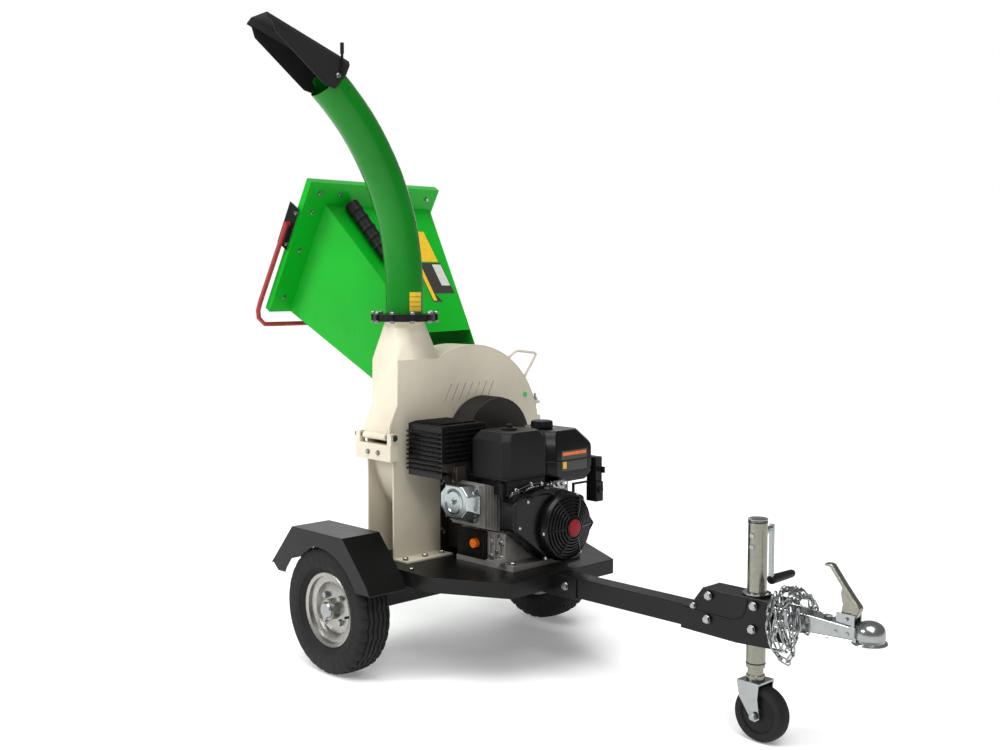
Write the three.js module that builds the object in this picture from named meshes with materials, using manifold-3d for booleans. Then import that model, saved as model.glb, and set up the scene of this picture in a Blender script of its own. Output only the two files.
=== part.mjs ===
// A towable disc wood chipper with its own engine, in millimetres, +Z up.
// The machine is laid out with x = 0 at the road wheels' axle, +X towards the hitch,
// y = 0 on the drawbar's centreline and z = 0 on the ground. The whole machine is then
// shifted once, so that the origin is the middle of the ground area that it covers.
import * as THREE from 'three';
import { ConvexGeometry } from 'three/addons/geometries/ConvexGeometry.js';
import { mergeVertices } from 'three/addons/utils/BufferGeometryUtils.js';
import Module from 'manifold-3d';

const wasm = await Module();
wasm.setup();

// ---------------------------------------------------------------- driving dimensions
const ORIGIN_X = 441;          // machine x and y of the middle of the ground area
const ORIGIN_Y = -86;
const GAP = 0.3;               // clearance between pieces that touch

const WHEEL = { radius: 200, width: 119, track: 454, sides: 24, seat: 107.5, flange: 117 };
const AXLE = { tube: 50, spindle: 15 };
const DECK = {
  top: 331, plate: 4, skirt: 46, front: 532, rear: -200, frontHalf: 228, half: 348, shoulder: 309,
};
const BAR = { size: 60, wall: 4, rear: -150, front: 1180 };
const FENDER = { top: 443, outer: -521, inner: -379, plate: 3 };
const JACK = { x: 1219, outer: 25.5, inner: 21, top: 585, bottom: 195, wheel: 75, trail: 22, crankZ: 556 };
const ROTOR = { y: 50, z: 681, shaft: 20, disc: 288, shell: 317 };
const ENGINE = { y: 60, z: 452, shaft: 12.5 };
const HOUSING = { front: 67, rear: -65, sheet: 6, wall: 4, hoodRear: -58.5 };
const HINGE = { y: -303, z: 722, rod: 6 };
const CHUTE = {
  x: 0, y: -181, base: 1083, tube: 60, wall: 3, bend: 830, start: 1186, sweep: 48, bearing: -96.5,
};
const COLLAR = { flange: 94, outer: 100, bolts: 101, count: 10, seat: 7 };
const GUARD = { middle: 75, half: 140, crown: 688, rear: 75, front: 168, sheet: 3 };
const LOUVRE = { count: 7, first: -72, pitch: 31.5, low: 818, high: 874, lean: 30, width: 4 };
const SHIELD = { rear: 100, front: 258, near: -252, far: -70, low: 606, high: 768, sheet: 3 };
const BELT = { big: 80, small: 57, rear: 99, front: 145, thick: 8 };
const PIVOT = { s: 275, z: 1815 };      // deflector hinge, outwards and up in the chute's own plane
const MOUTH = { x: -661, z: 1100, height: 513, near: -255, far: 315, lean: 30.8, lip: 25 };
const CLAMP = { x: 40, y: 376, z: 727, pin: 4 };
const BARPIVOT = { x: -512, z: 1404, pin: 6.5 };

const X = new THREE.Vector3(1, 0, 0);
const Y = new THREE.Vector3(0, 1, 0);
const Z = new THREE.Vector3(0, 0, 1);
const rad = THREE.MathUtils.degToRad;

// ---------------------------------------------------------------- joining and cutting
function toSolid(geometry) {
  const bare = geometry.clone();
  bare.deleteAttribute('normal');
  bare.deleteAttribute('uv');
  const merged = geometry.userData.closed ? bare : mergeVertices(bare, 1e-3);
  const index = merged.index.array;
  const triangles = [];
  for (let i = 0; i < index.length; i += 3) {
    const [a, b, c] = [index[i], index[i + 1], index[i + 2]];
    if (a !== b && b !== c && c !== a) triangles.push(a, b, c);
  }
  return new wasm.Manifold(new wasm.Mesh({
    numProp: 3,
    vertProperties: new Float32Array(merged.attributes.position.array),
    triVerts: new Uint32Array(triangles),
  }));
}

function toGeometry(body) {
  const mesh = body.getMesh();
  const geometry = new THREE.BufferGeometry();
  geometry.setAttribute('position', new THREE.BufferAttribute(new Float32Array(mesh.vertProperties), 3));
  geometry.setIndex(new THREE.BufferAttribute(new Uint32Array(mesh.triVerts), 1));
  geometry.userData.closed = true;
  return geometry;
}

function join(...pieces) {
  return toGeometry(pieces.map(toSolid).reduce((sum, piece) => sum.add(piece)));
}

function cut(base, ...tools) {
  return toGeometry(tools.map(toSolid).reduce((left, tool) => left.subtract(tool), toSolid(base)));
}

function overlap(a, b) {
  return toGeometry(toSolid(a).intersect(toSolid(b)));
}

// ---------------------------------------------------------------- basic shapes
function box(x0, x1, y0, y1, z0, z1) {
  const geometry = new THREE.BoxGeometry(x1 - x0, y1 - y0, z1 - z0);
  return geometry.translate((x0 + x1) / 2, (y0 + y1) / 2, (z0 + z1) / 2);
}

// The two cross coordinates of an x, y or z axis are (y, z), (x, z) and (x, y).
function onAxis(axis, along, u, v) {
  if (axis === 'x') return new THREE.Vector3(along, u, v);
  if (axis === 'y') return new THREE.Vector3(u, along, v);
  return new THREE.Vector3(u, v, along);
}

function rod(axis, radius, from, to, u, v, sides = 16, endRadius = radius) {
  const geometry = new THREE.CylinderGeometry(endRadius, radius, to - from, sides);
  if (axis === 'x') geometry.rotateZ(-Math.PI / 2);
  if (axis === 'z') geometry.rotateX(Math.PI / 2);
  const middle = onAxis(axis, (from + to) / 2, u, v);
  return geometry.translate(middle.x, middle.y, middle.z);
}

function ring(axis, outer, inner, from, to, u, v, sides = 24) {
  return cut(rod(axis, outer, from, to, u, v, sides), rod(axis, inner, from - 1, to + 1, u, v, sides));
}

const EXTRUDE = {
  x: new THREE.Matrix4().makeBasis(Y, Z, X),
  y: new THREE.Matrix4().makeBasis(X, Z, Y.clone().negate()),
  z: new THREE.Matrix4(),
};

function prism(outline, axis, from, to) {
  const shape = new THREE.Shape(outline.map(([u, v]) => new THREE.Vector2(u, v)));
  const geometry = new THREE.ExtrudeGeometry(shape, { depth: to - from, bevelEnabled: false });
  geometry.applyMatrix4(EXTRUDE[axis]);
  const start = onAxis(axis, axis === 'y' ? to : from, 0, 0);
  return geometry.translate(start.x, start.y, start.z);
}

// A turned piece: the profile's points are (radius, distance along the axis).
function turned(profile, axis, along, u, v, sides) {
  const points = profile.map(([r, d]) => new THREE.Vector2(r, d));
  const geometry = new THREE.LatheGeometry(points, sides).rotateY(Math.PI / sides);
  if (axis === 'x') geometry.rotateZ(-Math.PI / 2);
  if (axis === 'z') geometry.rotateX(Math.PI / 2);
  const middle = onAxis(axis, along, u, v);
  geometry.translate(middle.x, middle.y, middle.z);
  return toSolid(geometry).volume() > 0 ? geometry : flipped(geometry);
}

function flipped(geometry) {
  const index = Array.from(geometry.index.array);
  for (let i = 0; i < index.length; i += 3) {
    [index[i], index[i + 1]] = [index[i + 1], index[i]];
  }
  geometry.setIndex(index);
  return geometry;
}

function hull(points) {
  return new ConvexGeometry(points.map(([x, y, z]) => new THREE.Vector3(x, y, z)));
}

// An outline of (y, z) points, repeated at each x.
function bothEnds(outline, ...places) {
  return places.flatMap((x) => outline.map(([y, z]) => [x, y, z]));
}

// The stretch from a to b, measured outwards on the near side (-1) or the far side (1).
function span(side, a, b) {
  return side < 0 ? [-b, -a] : [a, b];
}

function circle(radius, u, v, sides, from = 0, to = 360) {
  const full = to - from === 360;
  const count = full ? sides : sides + 1;
  return Array.from({ length: count }, (_, i) => {
    const angle = rad(from + ((to - from) * i) / sides);
    return [u + radius * Math.cos(angle), v + radius * Math.sin(angle)];
  });
}

// A round bar bent at the inner points of its route.
function bentBar(route, radius, bend, sides = 8, steps = 24) {
  const points = route.map(([x, y, z]) => new THREE.Vector3(x, y, z));
  const path = new THREE.CurvePath();
  let from = points[0];
  for (let i = 1; i < points.length - 1; i += 1) {
    const back = points[i - 1].clone().sub(points[i]).setLength(bend).add(points[i]);
    const ahead = points[i + 1].clone().sub(points[i]).setLength(bend).add(points[i]);
    path.add(new THREE.LineCurve3(from, back));
    path.add(new THREE.QuadraticBezierCurve3(back, points[i], ahead));
    from = ahead;
  }
  path.add(new THREE.LineCurve3(from, points[points.length - 1]));
  const section = new THREE.Shape(circle(radius, 0, 0, sides).map(([u, v]) => new THREE.Vector2(u, v)));
  return new THREE.ExtrudeGeometry(section, { steps, extrudePath: path, curveSegments: sides });
}

// ---------------------------------------------------------------- the scene graph
const machine = new THREE.Group();
machine.position.set(-ORIGIN_X, -ORIGIN_Y, 0);

const COLOURS = {
  green: [0x0b8f2a, 0.35, 0.1],
  beige: [0xd8cfbd, 0.5, 0.1],
  black: [0x17181a, 0.55, 0.2],
  plastic: [0x1d1e20, 0.6, 0],
  rubber: [0x141414, 0.85, 0],
  zinc: [0xb9bec2, 0.35, 0.9],
  steel: [0x8d9196, 0.4, 0.9],
  alloy: [0xa9a9a4, 0.5, 0.7],
  silver: [0xb4b8ba, 0.4, 0.6],
  red: [0xb02a24, 0.45, 0.1],
  orange: [0xe0601c, 0.5, 0],
  plug: [0x1fae4a, 0.5, 0],
};

function add(name, colour, geometry, parent = machine) {
  const [color, roughness, metalness] = COLOURS[colour];
  const mesh = new THREE.Mesh(geometry, new THREE.MeshStandardMaterial({ color, roughness, metalness }));
  mesh.name = name;
  parent.add(mesh);
  return mesh;
}

// ---------------------------------------------------------------- running gear
function tyre() {
  const half = WHEEL.width / 2;
  const tread = WHEEL.radius / Math.cos(Math.PI / WHEEL.sides);
  const outer = [
    [WHEEL.seat + GAP, -37], [119, -37], [126, -50], [150, -half], [181, -56], [197, -45], [tread, -32],
    [tread, 32], [197, 45], [181, 56], [150, half], [126, 50], [119, 37], [WHEEL.seat + GAP, 37],
  ];
  const inner = [[WHEEL.seat + GAP, 24], [130, 38], [160, 47], [186, 30], [186, -30], [160, -47], [130, -38],
    [WHEEL.seat + GAP, -24]];
  const profile = [...outer, ...inner];
  profile.push(profile[0]);
  return profile;
}

function rim() {
  const seat = WHEEL.seat;
  const lip = WHEEL.flange;
  return [
    [16, -40], [31, -40], [33, -16], [78, -10], [84, -22], [103, -27], [103.5, -37.5], [lip - 2, -41],
    [lip, -37.6], [seat, -37.3], [seat, 37.3], [lip, 37.6], [lip - 2, 41], [103.5, 37.5], [103, -20],
    [88, -14], [80, -4], [35, -8], [33, 34], [16, 34], [16, -40],
  ];
}

function roadWheel(side, name) {
  const y = side * WHEEL.track;
  const centre = WHEEL.radius;
  const facing = (profile) => profile.map(([r, d]) => [r, -side * d]);
  add(`tyre_${name}`, 'rubber', turned(facing(tyre()), 'y', y, 0, centre, WHEEL.sides));
  const nuts = [45, 135, 225, 315].map((angle) => {
    const u = 52 * Math.cos(rad(angle));
    const v = 52 * Math.sin(rad(angle));
    return rod('y', 9, ...span(side, WHEEL.track + 10, WHEEL.track + 30), u, centre + v, 6);
  });
  const cap = rod('y', 24, ...span(side, WHEEL.track + 36, WHEEL.track + 52), 0, centre, 16);
  const disc = turned(facing(rim()), 'y', y, 0, centre, WHEEL.sides);
  add(`rim_${name}`, 'silver', join(disc, cap, ...nuts));
}

function axleFrame() {
  const z = WHEEL.radius;
  const half = AXLE.tube / 2;
  const under = DECK.top - DECK.plate - GAP;
  const beam = box(-half, half, -375, 375, z - half, z + half);
  const spindle = rod('y', AXLE.spindle, -482, 482, 0, z, 16);
  const rails = [-220, 180].map((y) => box(-180, 470, y, y + 40, under - 50, under));
  const risers = [-220, 180].map((y) => box(-half, half, y, y + 40, z, under - 49));
  const saddle = box(-half, half, -28, 28, z, under - BAR.size - GAP);
  add('axle_frame', 'black', join(beam, spindle, ...rails, ...risers, saddle));
}

function deckOutline(inset) {
  const { front, rear, frontHalf, half, shoulder } = DECK;
  const right = [
    [rear + inset, -half + inset],
    [shoulder, -half + inset],
    [front - inset, -frontHalf + inset],
  ];
  return [...right, ...right.map(([x, y]) => [x, -y]).reverse()];
}

function deck() {
  const { top, plate, skirt, front } = DECK;
  const tray = prism(deckOutline(0), 'z', top - skirt, top);
  const hollow = prism(deckOutline(plate), 'z', top - skirt - 1, top - plate);
  const notch = box(front - 40, front + 1, -38, 38, top - skirt - 1, top - plate);
  add('deck_tray', 'black', cut(tray, hollow, notch));
}

function drawbar() {
  const half = BAR.size / 2;
  const top = DECK.top - DECK.plate - GAP;
  const outside = box(BAR.rear, BAR.front, -half, half, top - BAR.size, top);
  const w = BAR.wall;
  const inside = box(BAR.rear - 1, BAR.front + 1, -half + w, half - w, top - BAR.size + w, top - w);
  add('drawbar', 'black', cut(outside, inside));
  const s = half + GAP;
  const sleeve = cut(
    box(430, 610, -s - 5, s + 5, top - BAR.size - 5, top - 0.01),
    box(429, 611, -s, s, top - BAR.size - GAP, top + 1),
  );
  const bolts = [570, 470].map((x) => rod('y', 9, -s - 12, -s - 2, x, top - half, 6));
  add('drawbar_socket', 'black', join(sleeve, ...bolts));
}

function fender(side, name) {
  const { top, outer, inner, plate } = FENDER;
  const slope = side < 0 ? [[226, 318], [242, 290]] : [[190, 357]];
  const line = [[-261, 312], [-146, top], [112, top], ...slope];
  const under = line.map(([x, z]) => [x - 2, z - plate]).reverse();
  const flip = (y0, y1) => (side < 0 ? [y0, y1] : [-y1, -y0]);
  const sheet = prism([...line, ...under], 'y', ...flip(outer, inner));
  const skirtOutline = [...line, [150, 290], [-225, 290], [-252, 312]];
  const skirt = cut(
    prism(skirtOutline, 'y', ...flip(outer, outer + plate)),
    rod('y', 208, ...flip(outer - 1, outer + plate + 1), -8, 190, 32),
  );
  const bracket = join(
    prism([[-60, 300], [60, 300], [60, top - 1], [-60, top - 1]], 'y', ...flip(inner - plate, inner)),
    box(-60, 60, ...flip(inner - 1, -DECK.half - GAP), 300, 304),
  );
  add(`fender_${name}`, 'black', join(sheet, skirt, bracket));
}

// ---------------------------------------------------------------- hitch
function hitchBracket() {
  const inner = BAR.size / 2 + GAP;
  const cheek = [[1000, 262], [1180, 258], [1288, 264], [1288, 386], [1072, 386], [1030, 330], [1000, 326]];
  const cheeks = [-1, 1].map((side) => prism(cheek, 'y', ...span(side, inner, inner + 6)));
  const top = cut(
    box(1072, 1288, -inner - 1, inner + 1, 381, 386),
    rod('z', JACK.outer + 1, 380, 387, JACK.x, 0, 24),
  );
  const places = [[1094, 368], [1236, 367], [1090, 303], [1232, 305]];
  const heads = [-1, 1].flatMap((side) => places.map(([x, z]) => (
    rod('y', 9, ...span(side, inner + 5, inner + 12), x, z, 6)
  )));
  const collar = ring('z', 38, JACK.outer + GAP, 385, 392, JACK.x, 0, 24);
  add('hitch_bracket', 'black', join(...cheeks, top, collar, ...heads));
}

function coupler() {
  const section = (x, half, low, high) => (
    bothEnds([[-half, low], [half, low], [-half, high], [half, high]], x)
  );
  const body = join(
    box(1250, 1345, -29, 29, 322, 374),
    hull([...section(1345, 29, 322, 374), ...section(1400, 24, 326, 370)]),
    hull([...section(1400, 24, 326, 370), ...section(1520, 22, 330, 362)]),
    rod('z', 36, 328, 366, 1546, 0, 20, 30),
    rod('z', 42, 328, 332, 1544, 0, 20),
    rod('z', 22, 360, 378, 1540, 0, 16, 14),
    ...[-1, 1].map((side) => box(1462, 1512, ...span(side, 13, 18), 360, 392)),
  );
  const cavity = join(
    box(1249, 1380, -25, 25, 321, 369),
    box(1379, 1505, -18, 18, 321, 356),
    rod('z', 26, 327, 352, 1546, 0, 20),
  );
  const pin = rod('y', 5, -24, 24, 1490, 380, 12);
  const bolts = [1300, 1340].map((x) => rod('y', 6, -33, 33, x, 350, 8));
  add('coupler', 'zinc', join(cut(body, cavity), pin, ...bolts));
}

function couplerLatch() {
  const arm = [[1478, 372], [1500, 369], [1512, 388], [1538, 412], [1448, 514], [1424, 500], [1432, 490],
    [1486, 428], [1480, 400]];
  const blade = prism(arm, 'y', -10, 10);
  const relief = prism([[1492, 395], [1520, 408], [1446, 494], [1490, 434]], 'y', -11, 11);
  const bore = rod('y', 5.4, -30, 30, 1490, 380, 16);
  add('coupler_latch', 'zinc', cut(blade, relief, bore));
}

function safetyChains() {
  const outside = [
    [-64, 330], [-60, 262], [-44, 240], [-38, 300], [-38, 390], [38, 390], [38, 330],
    [44, 296], [60, 300], [64, 350], [58, 410], [20, 430], [-22, 430], [-58, 412],
  ];
  add('safety_chains', 'zinc', prism(outside, 'x', 1290, 1366));
}

// ---------------------------------------------------------------- jack
function jack() {
  const { x, outer, inner, top, bottom, crankZ } = JACK;
  const tube = cut(
    join(rod('z', outer, bottom, top, x, 0, 24), rod('y', 13, outer - 4, outer + 12, x, crankZ, 16)),
    rod('z', inner + GAP, bottom - 1, top - 4, x, 0, 24),
    rod('y', 7 + GAP, outer - 14, outer + 13, x, crankZ, 16),
  );
  add('jack_outer_tube', 'zinc', tube);
  const bushing = rod('z', inner + 4, bottom - 33, bottom - 20, x, 0, 16);
  const inside = join(rod('z', inner, bottom - 30, 500, x, 0, 24), bushing);
  add('jack_inner_tube', 'zinc', cut(inside, rod('z', inner - 4, 250, 501, x, 0, 16)));
}

function jackCrank() {
  const { x, crankZ } = JACK;
  const shaft = rod('y', 7, 14, 66, x, crankZ, 12);
  const arm = box(x - 6.5, x + 6.5, 62, 69, crankZ - 148, crankZ + 10);
  const spindle = rod('y', 5, 66, 170, x, crankZ - 140, 12);
  const cap = rod('y', 9, 167, 171, x, crankZ - 140, 12);
  add('jack_crank', 'zinc', join(shaft, arm, spindle, cap));
  const grip = cut(
    rod('y', 13, 71, 166, x, crankZ - 140, 12, 11),
    rod('y', 5 + GAP, 70, 167, x, crankZ - 140, 12),
  );
  add('crank_grip', 'plastic', grip);
}

function caster() {
  const { x, wheel, trail, bottom } = JACK;
  const top = bottom - 33 - GAP;
  const axleX = x + trail;
  const crown = box(x - 34, x + 34, -36, 36, top - 6, top);
  const cheek = [[x - 34, top - 3], [x + 34, top - 3], [x + 30, top - 40], [axleX + 15, wheel - 6],
    [axleX, wheel - 16], [axleX - 14, wheel - 6], [x - 26, top - 44]];
  const cheeks = [-1, 1].map((side) => prism(cheek, 'y', ...span(side, 31, 36)));
  const axle = rod('y', 6, -42, 42, axleX, wheel, 12);
  add('caster_fork', 'zinc', join(crown, ...cheeks, axle));
  const rTread = wheel / Math.cos(Math.PI / 24);
  const profile = [[6.4, -27], [20, -27], [22, -18], [52, -18], [56, -24], [rTread - 8, -24], [rTread, -15],
    [rTread, 15], [rTread - 8, 24], [56, 24], [52, 18], [22, 18], [20, 27], [6.4, 27], [6.4, -27]];
  add('jockey_wheel', 'rubber', turned(profile, 'y', 0, axleX, wheel, 24));
}

// ---------------------------------------------------------------- chipper housing
const SPLIT = [[-300, 712], [357, 766]];

function splitHeight(y) {
  const [[y0, z0], [y1, z1]] = SPLIT;
  return z0 + ((y - y0) * (z1 - z0)) / (y1 - y0);
}

const DUCT = { near: -300, neck: -268, inner: -95, top: 960, knee: 750, shoulder: 815 };
const THROAT = { near: 30, far: 205, low: 746, high: 950, knee: -150 };

// The hood's outline across the machine: the duct on the near side, then the round shell.
function hoodOutline(inset) {
  const r = ROTOR.shell - inset;
  const start = (Math.acos((DUCT.inner - inset - ROTOR.y) / r) * 180) / Math.PI;
  const arc = circle(r, ROTOR.y, ROTOR.z, 24, start, -10);
  const near = DUCT.near + inset;
  return [
    [near, DUCT.knee + 6], [DUCT.neck + inset, DUCT.shoulder + 6], [DUCT.neck + inset + 2, DUCT.top],
    [DUCT.inner - inset, DUCT.top], ...arc, [near, arc[arc.length - 1][1]],
  ];
}

function aboveSplit(geometry) {
  const far = 400;
  const line = [-far, far].map((y) => [y, splitHeight(y) + GAP]);
  const outline = [...line, [far, 1200], [-far, 1200]];
  return overlap(geometry, prism(outline, 'x', -90, 90));
}

function duct(inset, below) {
  const low = [[-58 + inset, DUCT.neck + 2 + inset], [66 - inset, DUCT.neck + 2 + inset],
    [66 - inset, DUCT.inner - inset], [-58 + inset, DUCT.inner - inset]];
  const high = circle(CHUTE.tube + 1 - inset, CHUTE.x, CHUTE.y, 24);
  const lift = below ? 2 : 0;
  return hull([
    ...low.map(([x, y]) => [x, y, DUCT.top - lift]),
    ...high.map(([x, y]) => [x, y, CHUTE.base + lift]),
  ]);
}

function hood() {
  const { front, sheet, wall, hoodRear } = HOUSING;
  const shell = cut(
    aboveSplit(prism(hoodOutline(0), 'x', hoodRear, front)),
    prism(hoodOutline(wall), 'x', hoodRear - 1, front - sheet),
    box(-54, 61, -262, -101, 950, 965),
  );
  const sheetBehind = aboveSplit(prism(hoodOutline(1), 'x', hoodRear, hoodRear + 3));
  const backing = cut(
    overlap(sheetBehind, box(-60, -50, -301, -90, 700, 965)),
    rod('x', 306, -60, -50, ROTOR.y, ROTOR.z, 40),
  );
  const transition = cut(duct(0, false), duct(3, true));
  const { base, tube } = CHUTE;
  const flange = ring('z', COLLAR.flange, tube - 2, base - 1, base + COLLAR.seat, CHUTE.x, CHUTE.y, 32);
  const { count, first, pitch, low, high, lean, width } = LOUVRE;
  const louvres = Array.from({ length: count }, (_, i) => {
    const y = first + pitch * i;
    const slit = [[y, low], [y + width, low], [y + width + lean, high], [y + lean, high]];
    return prism(slit, 'x', front - sheet - 2, front + 1);
  });
  const knuckle = rod('x', 11, -52, 58, HINGE.y, HINGE.z, 12);
  const leaf = box(-52, 58, HINGE.y + 2, DUCT.near + 3, HINGE.z, 748);
  const bore = rod('x', HINGE.rod + GAP, -60, 70, HINGE.y, HINGE.z, 16);
  const lug = cut(
    box(CLAMP.x - 18, CLAMP.x + 18, 330, CLAMP.y + 6, 781, 791),
    box(CLAMP.x - 6, CLAMP.x + 6, CLAMP.y - 7, CLAMP.y + 13, 780, 792),
  );
  const body = join(shell, backing, transition, flange, knuckle, leaf, lug);
  add('upper_housing', 'beige', cut(body, bore, ...louvres));
}

function hoodFittings() {
  const { x, y, base, tube } = CHUTE;
  const wrap = cut(
    rod('z', COLLAR.outer, base - 3, base + 20, x, y, 32),
    rod('z', COLLAR.flange + GAP, base - 4, base + 2 * COLLAR.seat + 2 * GAP, x, y, 32),
    rod('z', tube + 4, base - 5, base + 21, x, y, 24),
  );
  const spots = circle(COLLAR.bolts, x, y, COLLAR.count, 10, 370);
  const bolts = spots.map(([u, v]) => rod('z', 6, base - 8, base + 24, u, v, 6));
  add('collar_ring', 'black', join(wrap, ...bolts));
  const r = ROTOR.shell + GAP;
  const onShell = (angle, extra) => [62, ROTOR.y + (r + extra) * Math.cos(rad(angle)),
    ROTOR.z + (r + extra) * Math.sin(rad(angle))];
  const route = [onShell(56.6, 5), onShell(54, 40), [62, 362, 958], onShell(38.4, 4)];
  const feet = [56.6, 38.4].map((angle) => {
    const [, fy, fz] = onShell(angle, 5);
    return rod('x', 5, 56, 66, fy, fz, 8);
  });
  add('housing_handle', 'beige', join(bentBar(route, 4.5, 12, 8, 20), ...feet));
  add('inspection_plug', 'plug', rod('x', 8, HOUSING.front + GAP, HOUSING.front + 4, 299, 819, 12));
}

function lowerHousing() {
  const { front, rear, sheet, wall } = HOUSING;
  const foot = DECK.top + GAP;
  const arc = circle(ROTOR.shell, ROTOR.y, ROTOR.z, 10, 15, -40);
  const top = [-285, 357].map((y) => [y, splitHeight(y)]);
  const plate = [[-285, foot], ...top, ...arc.slice(1), [293, foot]].reverse();
  const frontPlate = cut(prism(plate, 'x', front - sheet, front), rod('x', 24, 50, 70, ROTOR.y, ROTOR.z, 20));
  const disc = rod('x', ROTOR.shell - 1, rear, rear + sheet, ROTOR.y, ROTOR.z, 48);
  const rearPlate = cut(
    join(prism(plate, 'x', rear, rear + sheet), disc),
    rod('x', 24, rear - 1, rear + sheet + 1, ROTOR.y, ROTOR.z, 20),
    box(rear - 1, rear + sheet + 1, THROAT.near + 3, THROAT.far - 3, THROAT.low + 3, THROAT.high - 3),
  );
  const band = ring('x', ROTOR.shell, ROTOR.shell - wall, rear + 1, front - 1, ROTOR.y, ROTOR.z, 48);
  const reach = 400;
  const line = [reach, -reach].map((y) => [y, splitHeight(y)]);
  const below = prism([[-reach, 300], [reach, 300], ...line], 'x', -70, 70);
  const dischargeGap = box(-70, 70, -300, -200, 690, 800);
  const feet = [
    [front - 1, front + 66, -286, -96],
    [rear - 60, rear + 1, -286, -96],
    [rear - 60, rear + 1, 150, 292],
  ].map((sides) => box(...sides, foot, foot + 5));
  const ears = [-1, 1].map((side) => {
    const [a, b] = span(side, 7, 18);
    return box(CLAMP.x + a, CLAMP.x + b, 358, CLAMP.y + 9, 714, 740);
  });
  const pin = rod('x', CLAMP.pin, CLAMP.x - 17, CLAMP.x + 17, CLAMP.y, CLAMP.z, 8);
  const shell = cut(overlap(band, below), dischargeGap);
  add('lower_housing', 'beige', join(frontPlate, rearPlate, shell, ...feet, ...ears, pin));
}

function housingHinge() {
  const block = cut(box(-85, 90, -316, -285 - GAP, 648, 698), box(-80, 85, -311, -284, 640, 693));
  const ears = [[-85, -66], [71, 90]].map(([a, b]) => box(a, b, -314, -291, 690, 734));
  const bore = rod('x', HINGE.rod + GAP, -90, 95, HINGE.y, HINGE.z, 16);
  add('hinge_bracket', 'beige', cut(join(block, ...ears), bore));
  const pin = rod('x', HINGE.rod, -92, 98, HINGE.y, HINGE.z, 12);
  const nut = rod('x', 11, 91, 99, HINGE.y, HINGE.z, 6);
  const head = rod('x', 10, -94, -87, HINGE.y, HINGE.z, 12);
  add('hinge_pin', 'zinc', join(pin, nut, head));
}

function clampBolt() {
  const { x, y, z, pin } = CLAMP;
  const eye = ring('x', 8.5, pin + GAP, x - 5.5, x + 5.5, y, z, 12);
  const shank = rod('z', 4.5, z + 7, z + 88, x, y, 8);
  const nut = rod('z', 9, 792.9, 801, x, y, 6);
  const washer = rod('z', 11, 791.8, 793, x, y, 12);
  add('clamp_bolt', 'zinc', join(eye, shank, nut, washer));
}

// ---------------------------------------------------------------- rotor and drive
function rotor() {
  const { y, z, shaft, disc } = ROTOR;
  const hub = rod('x', 45, -46, 30, y, z, 24);
  const plate = rod('x', disc, -46, -32, y, z, 48);
  const paddles = [0, 90, 180, 270].map((angle) => {
    const arm = box(-33, 40, 110, disc - 4, -4, 4);
    return arm.rotateX(rad(angle + 45)).translate(0, y, z);
  });
  const slots = [0, 180].map((angle) => {
    const slot = box(-50, -30, 100, 240, -36, -16);
    return slot.rotateX(rad(angle)).translate(0, y, z);
  });
  const bore = rod('x', shaft + GAP, -50, 35, y, z, 24);
  add('flywheel', 'steel', cut(join(plate, hub, ...paddles), bore, ...slots));
  [0, 180].forEach((angle, i) => {
    const blade = prism([[0, -15], [0, 40], [-8, 40]].map(([x, h]) => [x - 46 - GAP, h]), 'y', 95, 250);
    add(`knife_${i + 1}`, 'steel', blade.rotateX(rad(angle)).translate(0, y, z));
  });
  add('rotor_shaft', 'steel', rod('x', shaft, -95, 152, y, z, 24));
  const bearing = (from, to) => join(
    ring('x', 46, shaft + GAP, from, to, y, z, 24),
    ...circle(52, y, z, 2, 45, 405).map(([u, v]) => rod('x', 14, from, to, u, v, 8)),
  );
  add('bearing_front', 'steel', bearing(HOUSING.front + GAP, 90));
  add('bearing_rear', 'steel', cut(bearing(-88, HOUSING.rear - GAP), box(-90, -60, 0, 120, 742, 800)));
  add('anvil', 'steel', box(-58.5, -56, THROAT.near, THROAT.far, THROAT.low - 22, THROAT.low));
}

function pulley(radius, bore, y, z) {
  const profile = [[bore, 95], [radius + 6, 95], [radius + 6, 98.5], [radius, 98.5], [radius, 145.5],
    [radius + 6, 145.5], [radius + 6, 149], [bore, 149], [bore, 95]];
  return turned(profile, 'x', 0, y, z, 32);
}

function drive() {
  const { big, small, rear, front, thick } = BELT;
  add('rotor_pulley', 'steel', pulley(big, ROTOR.shaft + GAP, ROTOR.y, ROTOR.z));
  add('engine_pulley', 'steel', pulley(small, ENGINE.shaft + GAP, ENGINE.y, ENGINE.z));
  const sides = 36;
  const corner = 1 / Math.cos(Math.PI / sides);
  const loop = (extra, x0, x1) => hull(bothEnds([
    ...circle(big * corner + extra, ROTOR.y, ROTOR.z, sides),
    ...circle(small * corner + extra, ENGINE.y, ENGINE.z, sides),
  ], x0, x1));
  const slack = 0.5;
  add('drive_belt', 'rubber', cut(loop(slack + thick, rear, front), loop(slack, rear - 1, front + 1)));
  add('crankshaft', 'steel', rod('x', ENGINE.shaft, 92, 208, ENGINE.y, ENGINE.z, 16));
}

function guard() {
  const { middle, half, crown, rear, front, sheet } = GUARD;
  const outline = (inset, foot) => [
    [middle + half - inset, foot],
    ...circle(half - inset, middle, crown, 20, 0, 180),
    [middle - half + inset, foot],
  ];
  const opening = rod('x', 30, rear - 5, front + 2, ENGINE.y, ENGINE.z, 20);
  const cover = cut(
    prism(outline(0, 345), 'x', rear, front),
    prism(outline(sheet, 340), 'x', rear - 1, front - sheet),
    opening,
  );
  const plate = cut(box(rear - 4, rear + 0.5, -95, 222, DECK.top + GAP, 618), opening);
  add('belt_guard', 'black', join(cover, plate));
}

// ---------------------------------------------------------------- chute and deflector
function chuteGroup() {
  const group = new THREE.Group();
  group.position.set(CHUTE.x, CHUTE.y, 0);
  group.rotation.z = rad(CHUTE.bearing);
  machine.add(group);
  return group;
}

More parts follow.
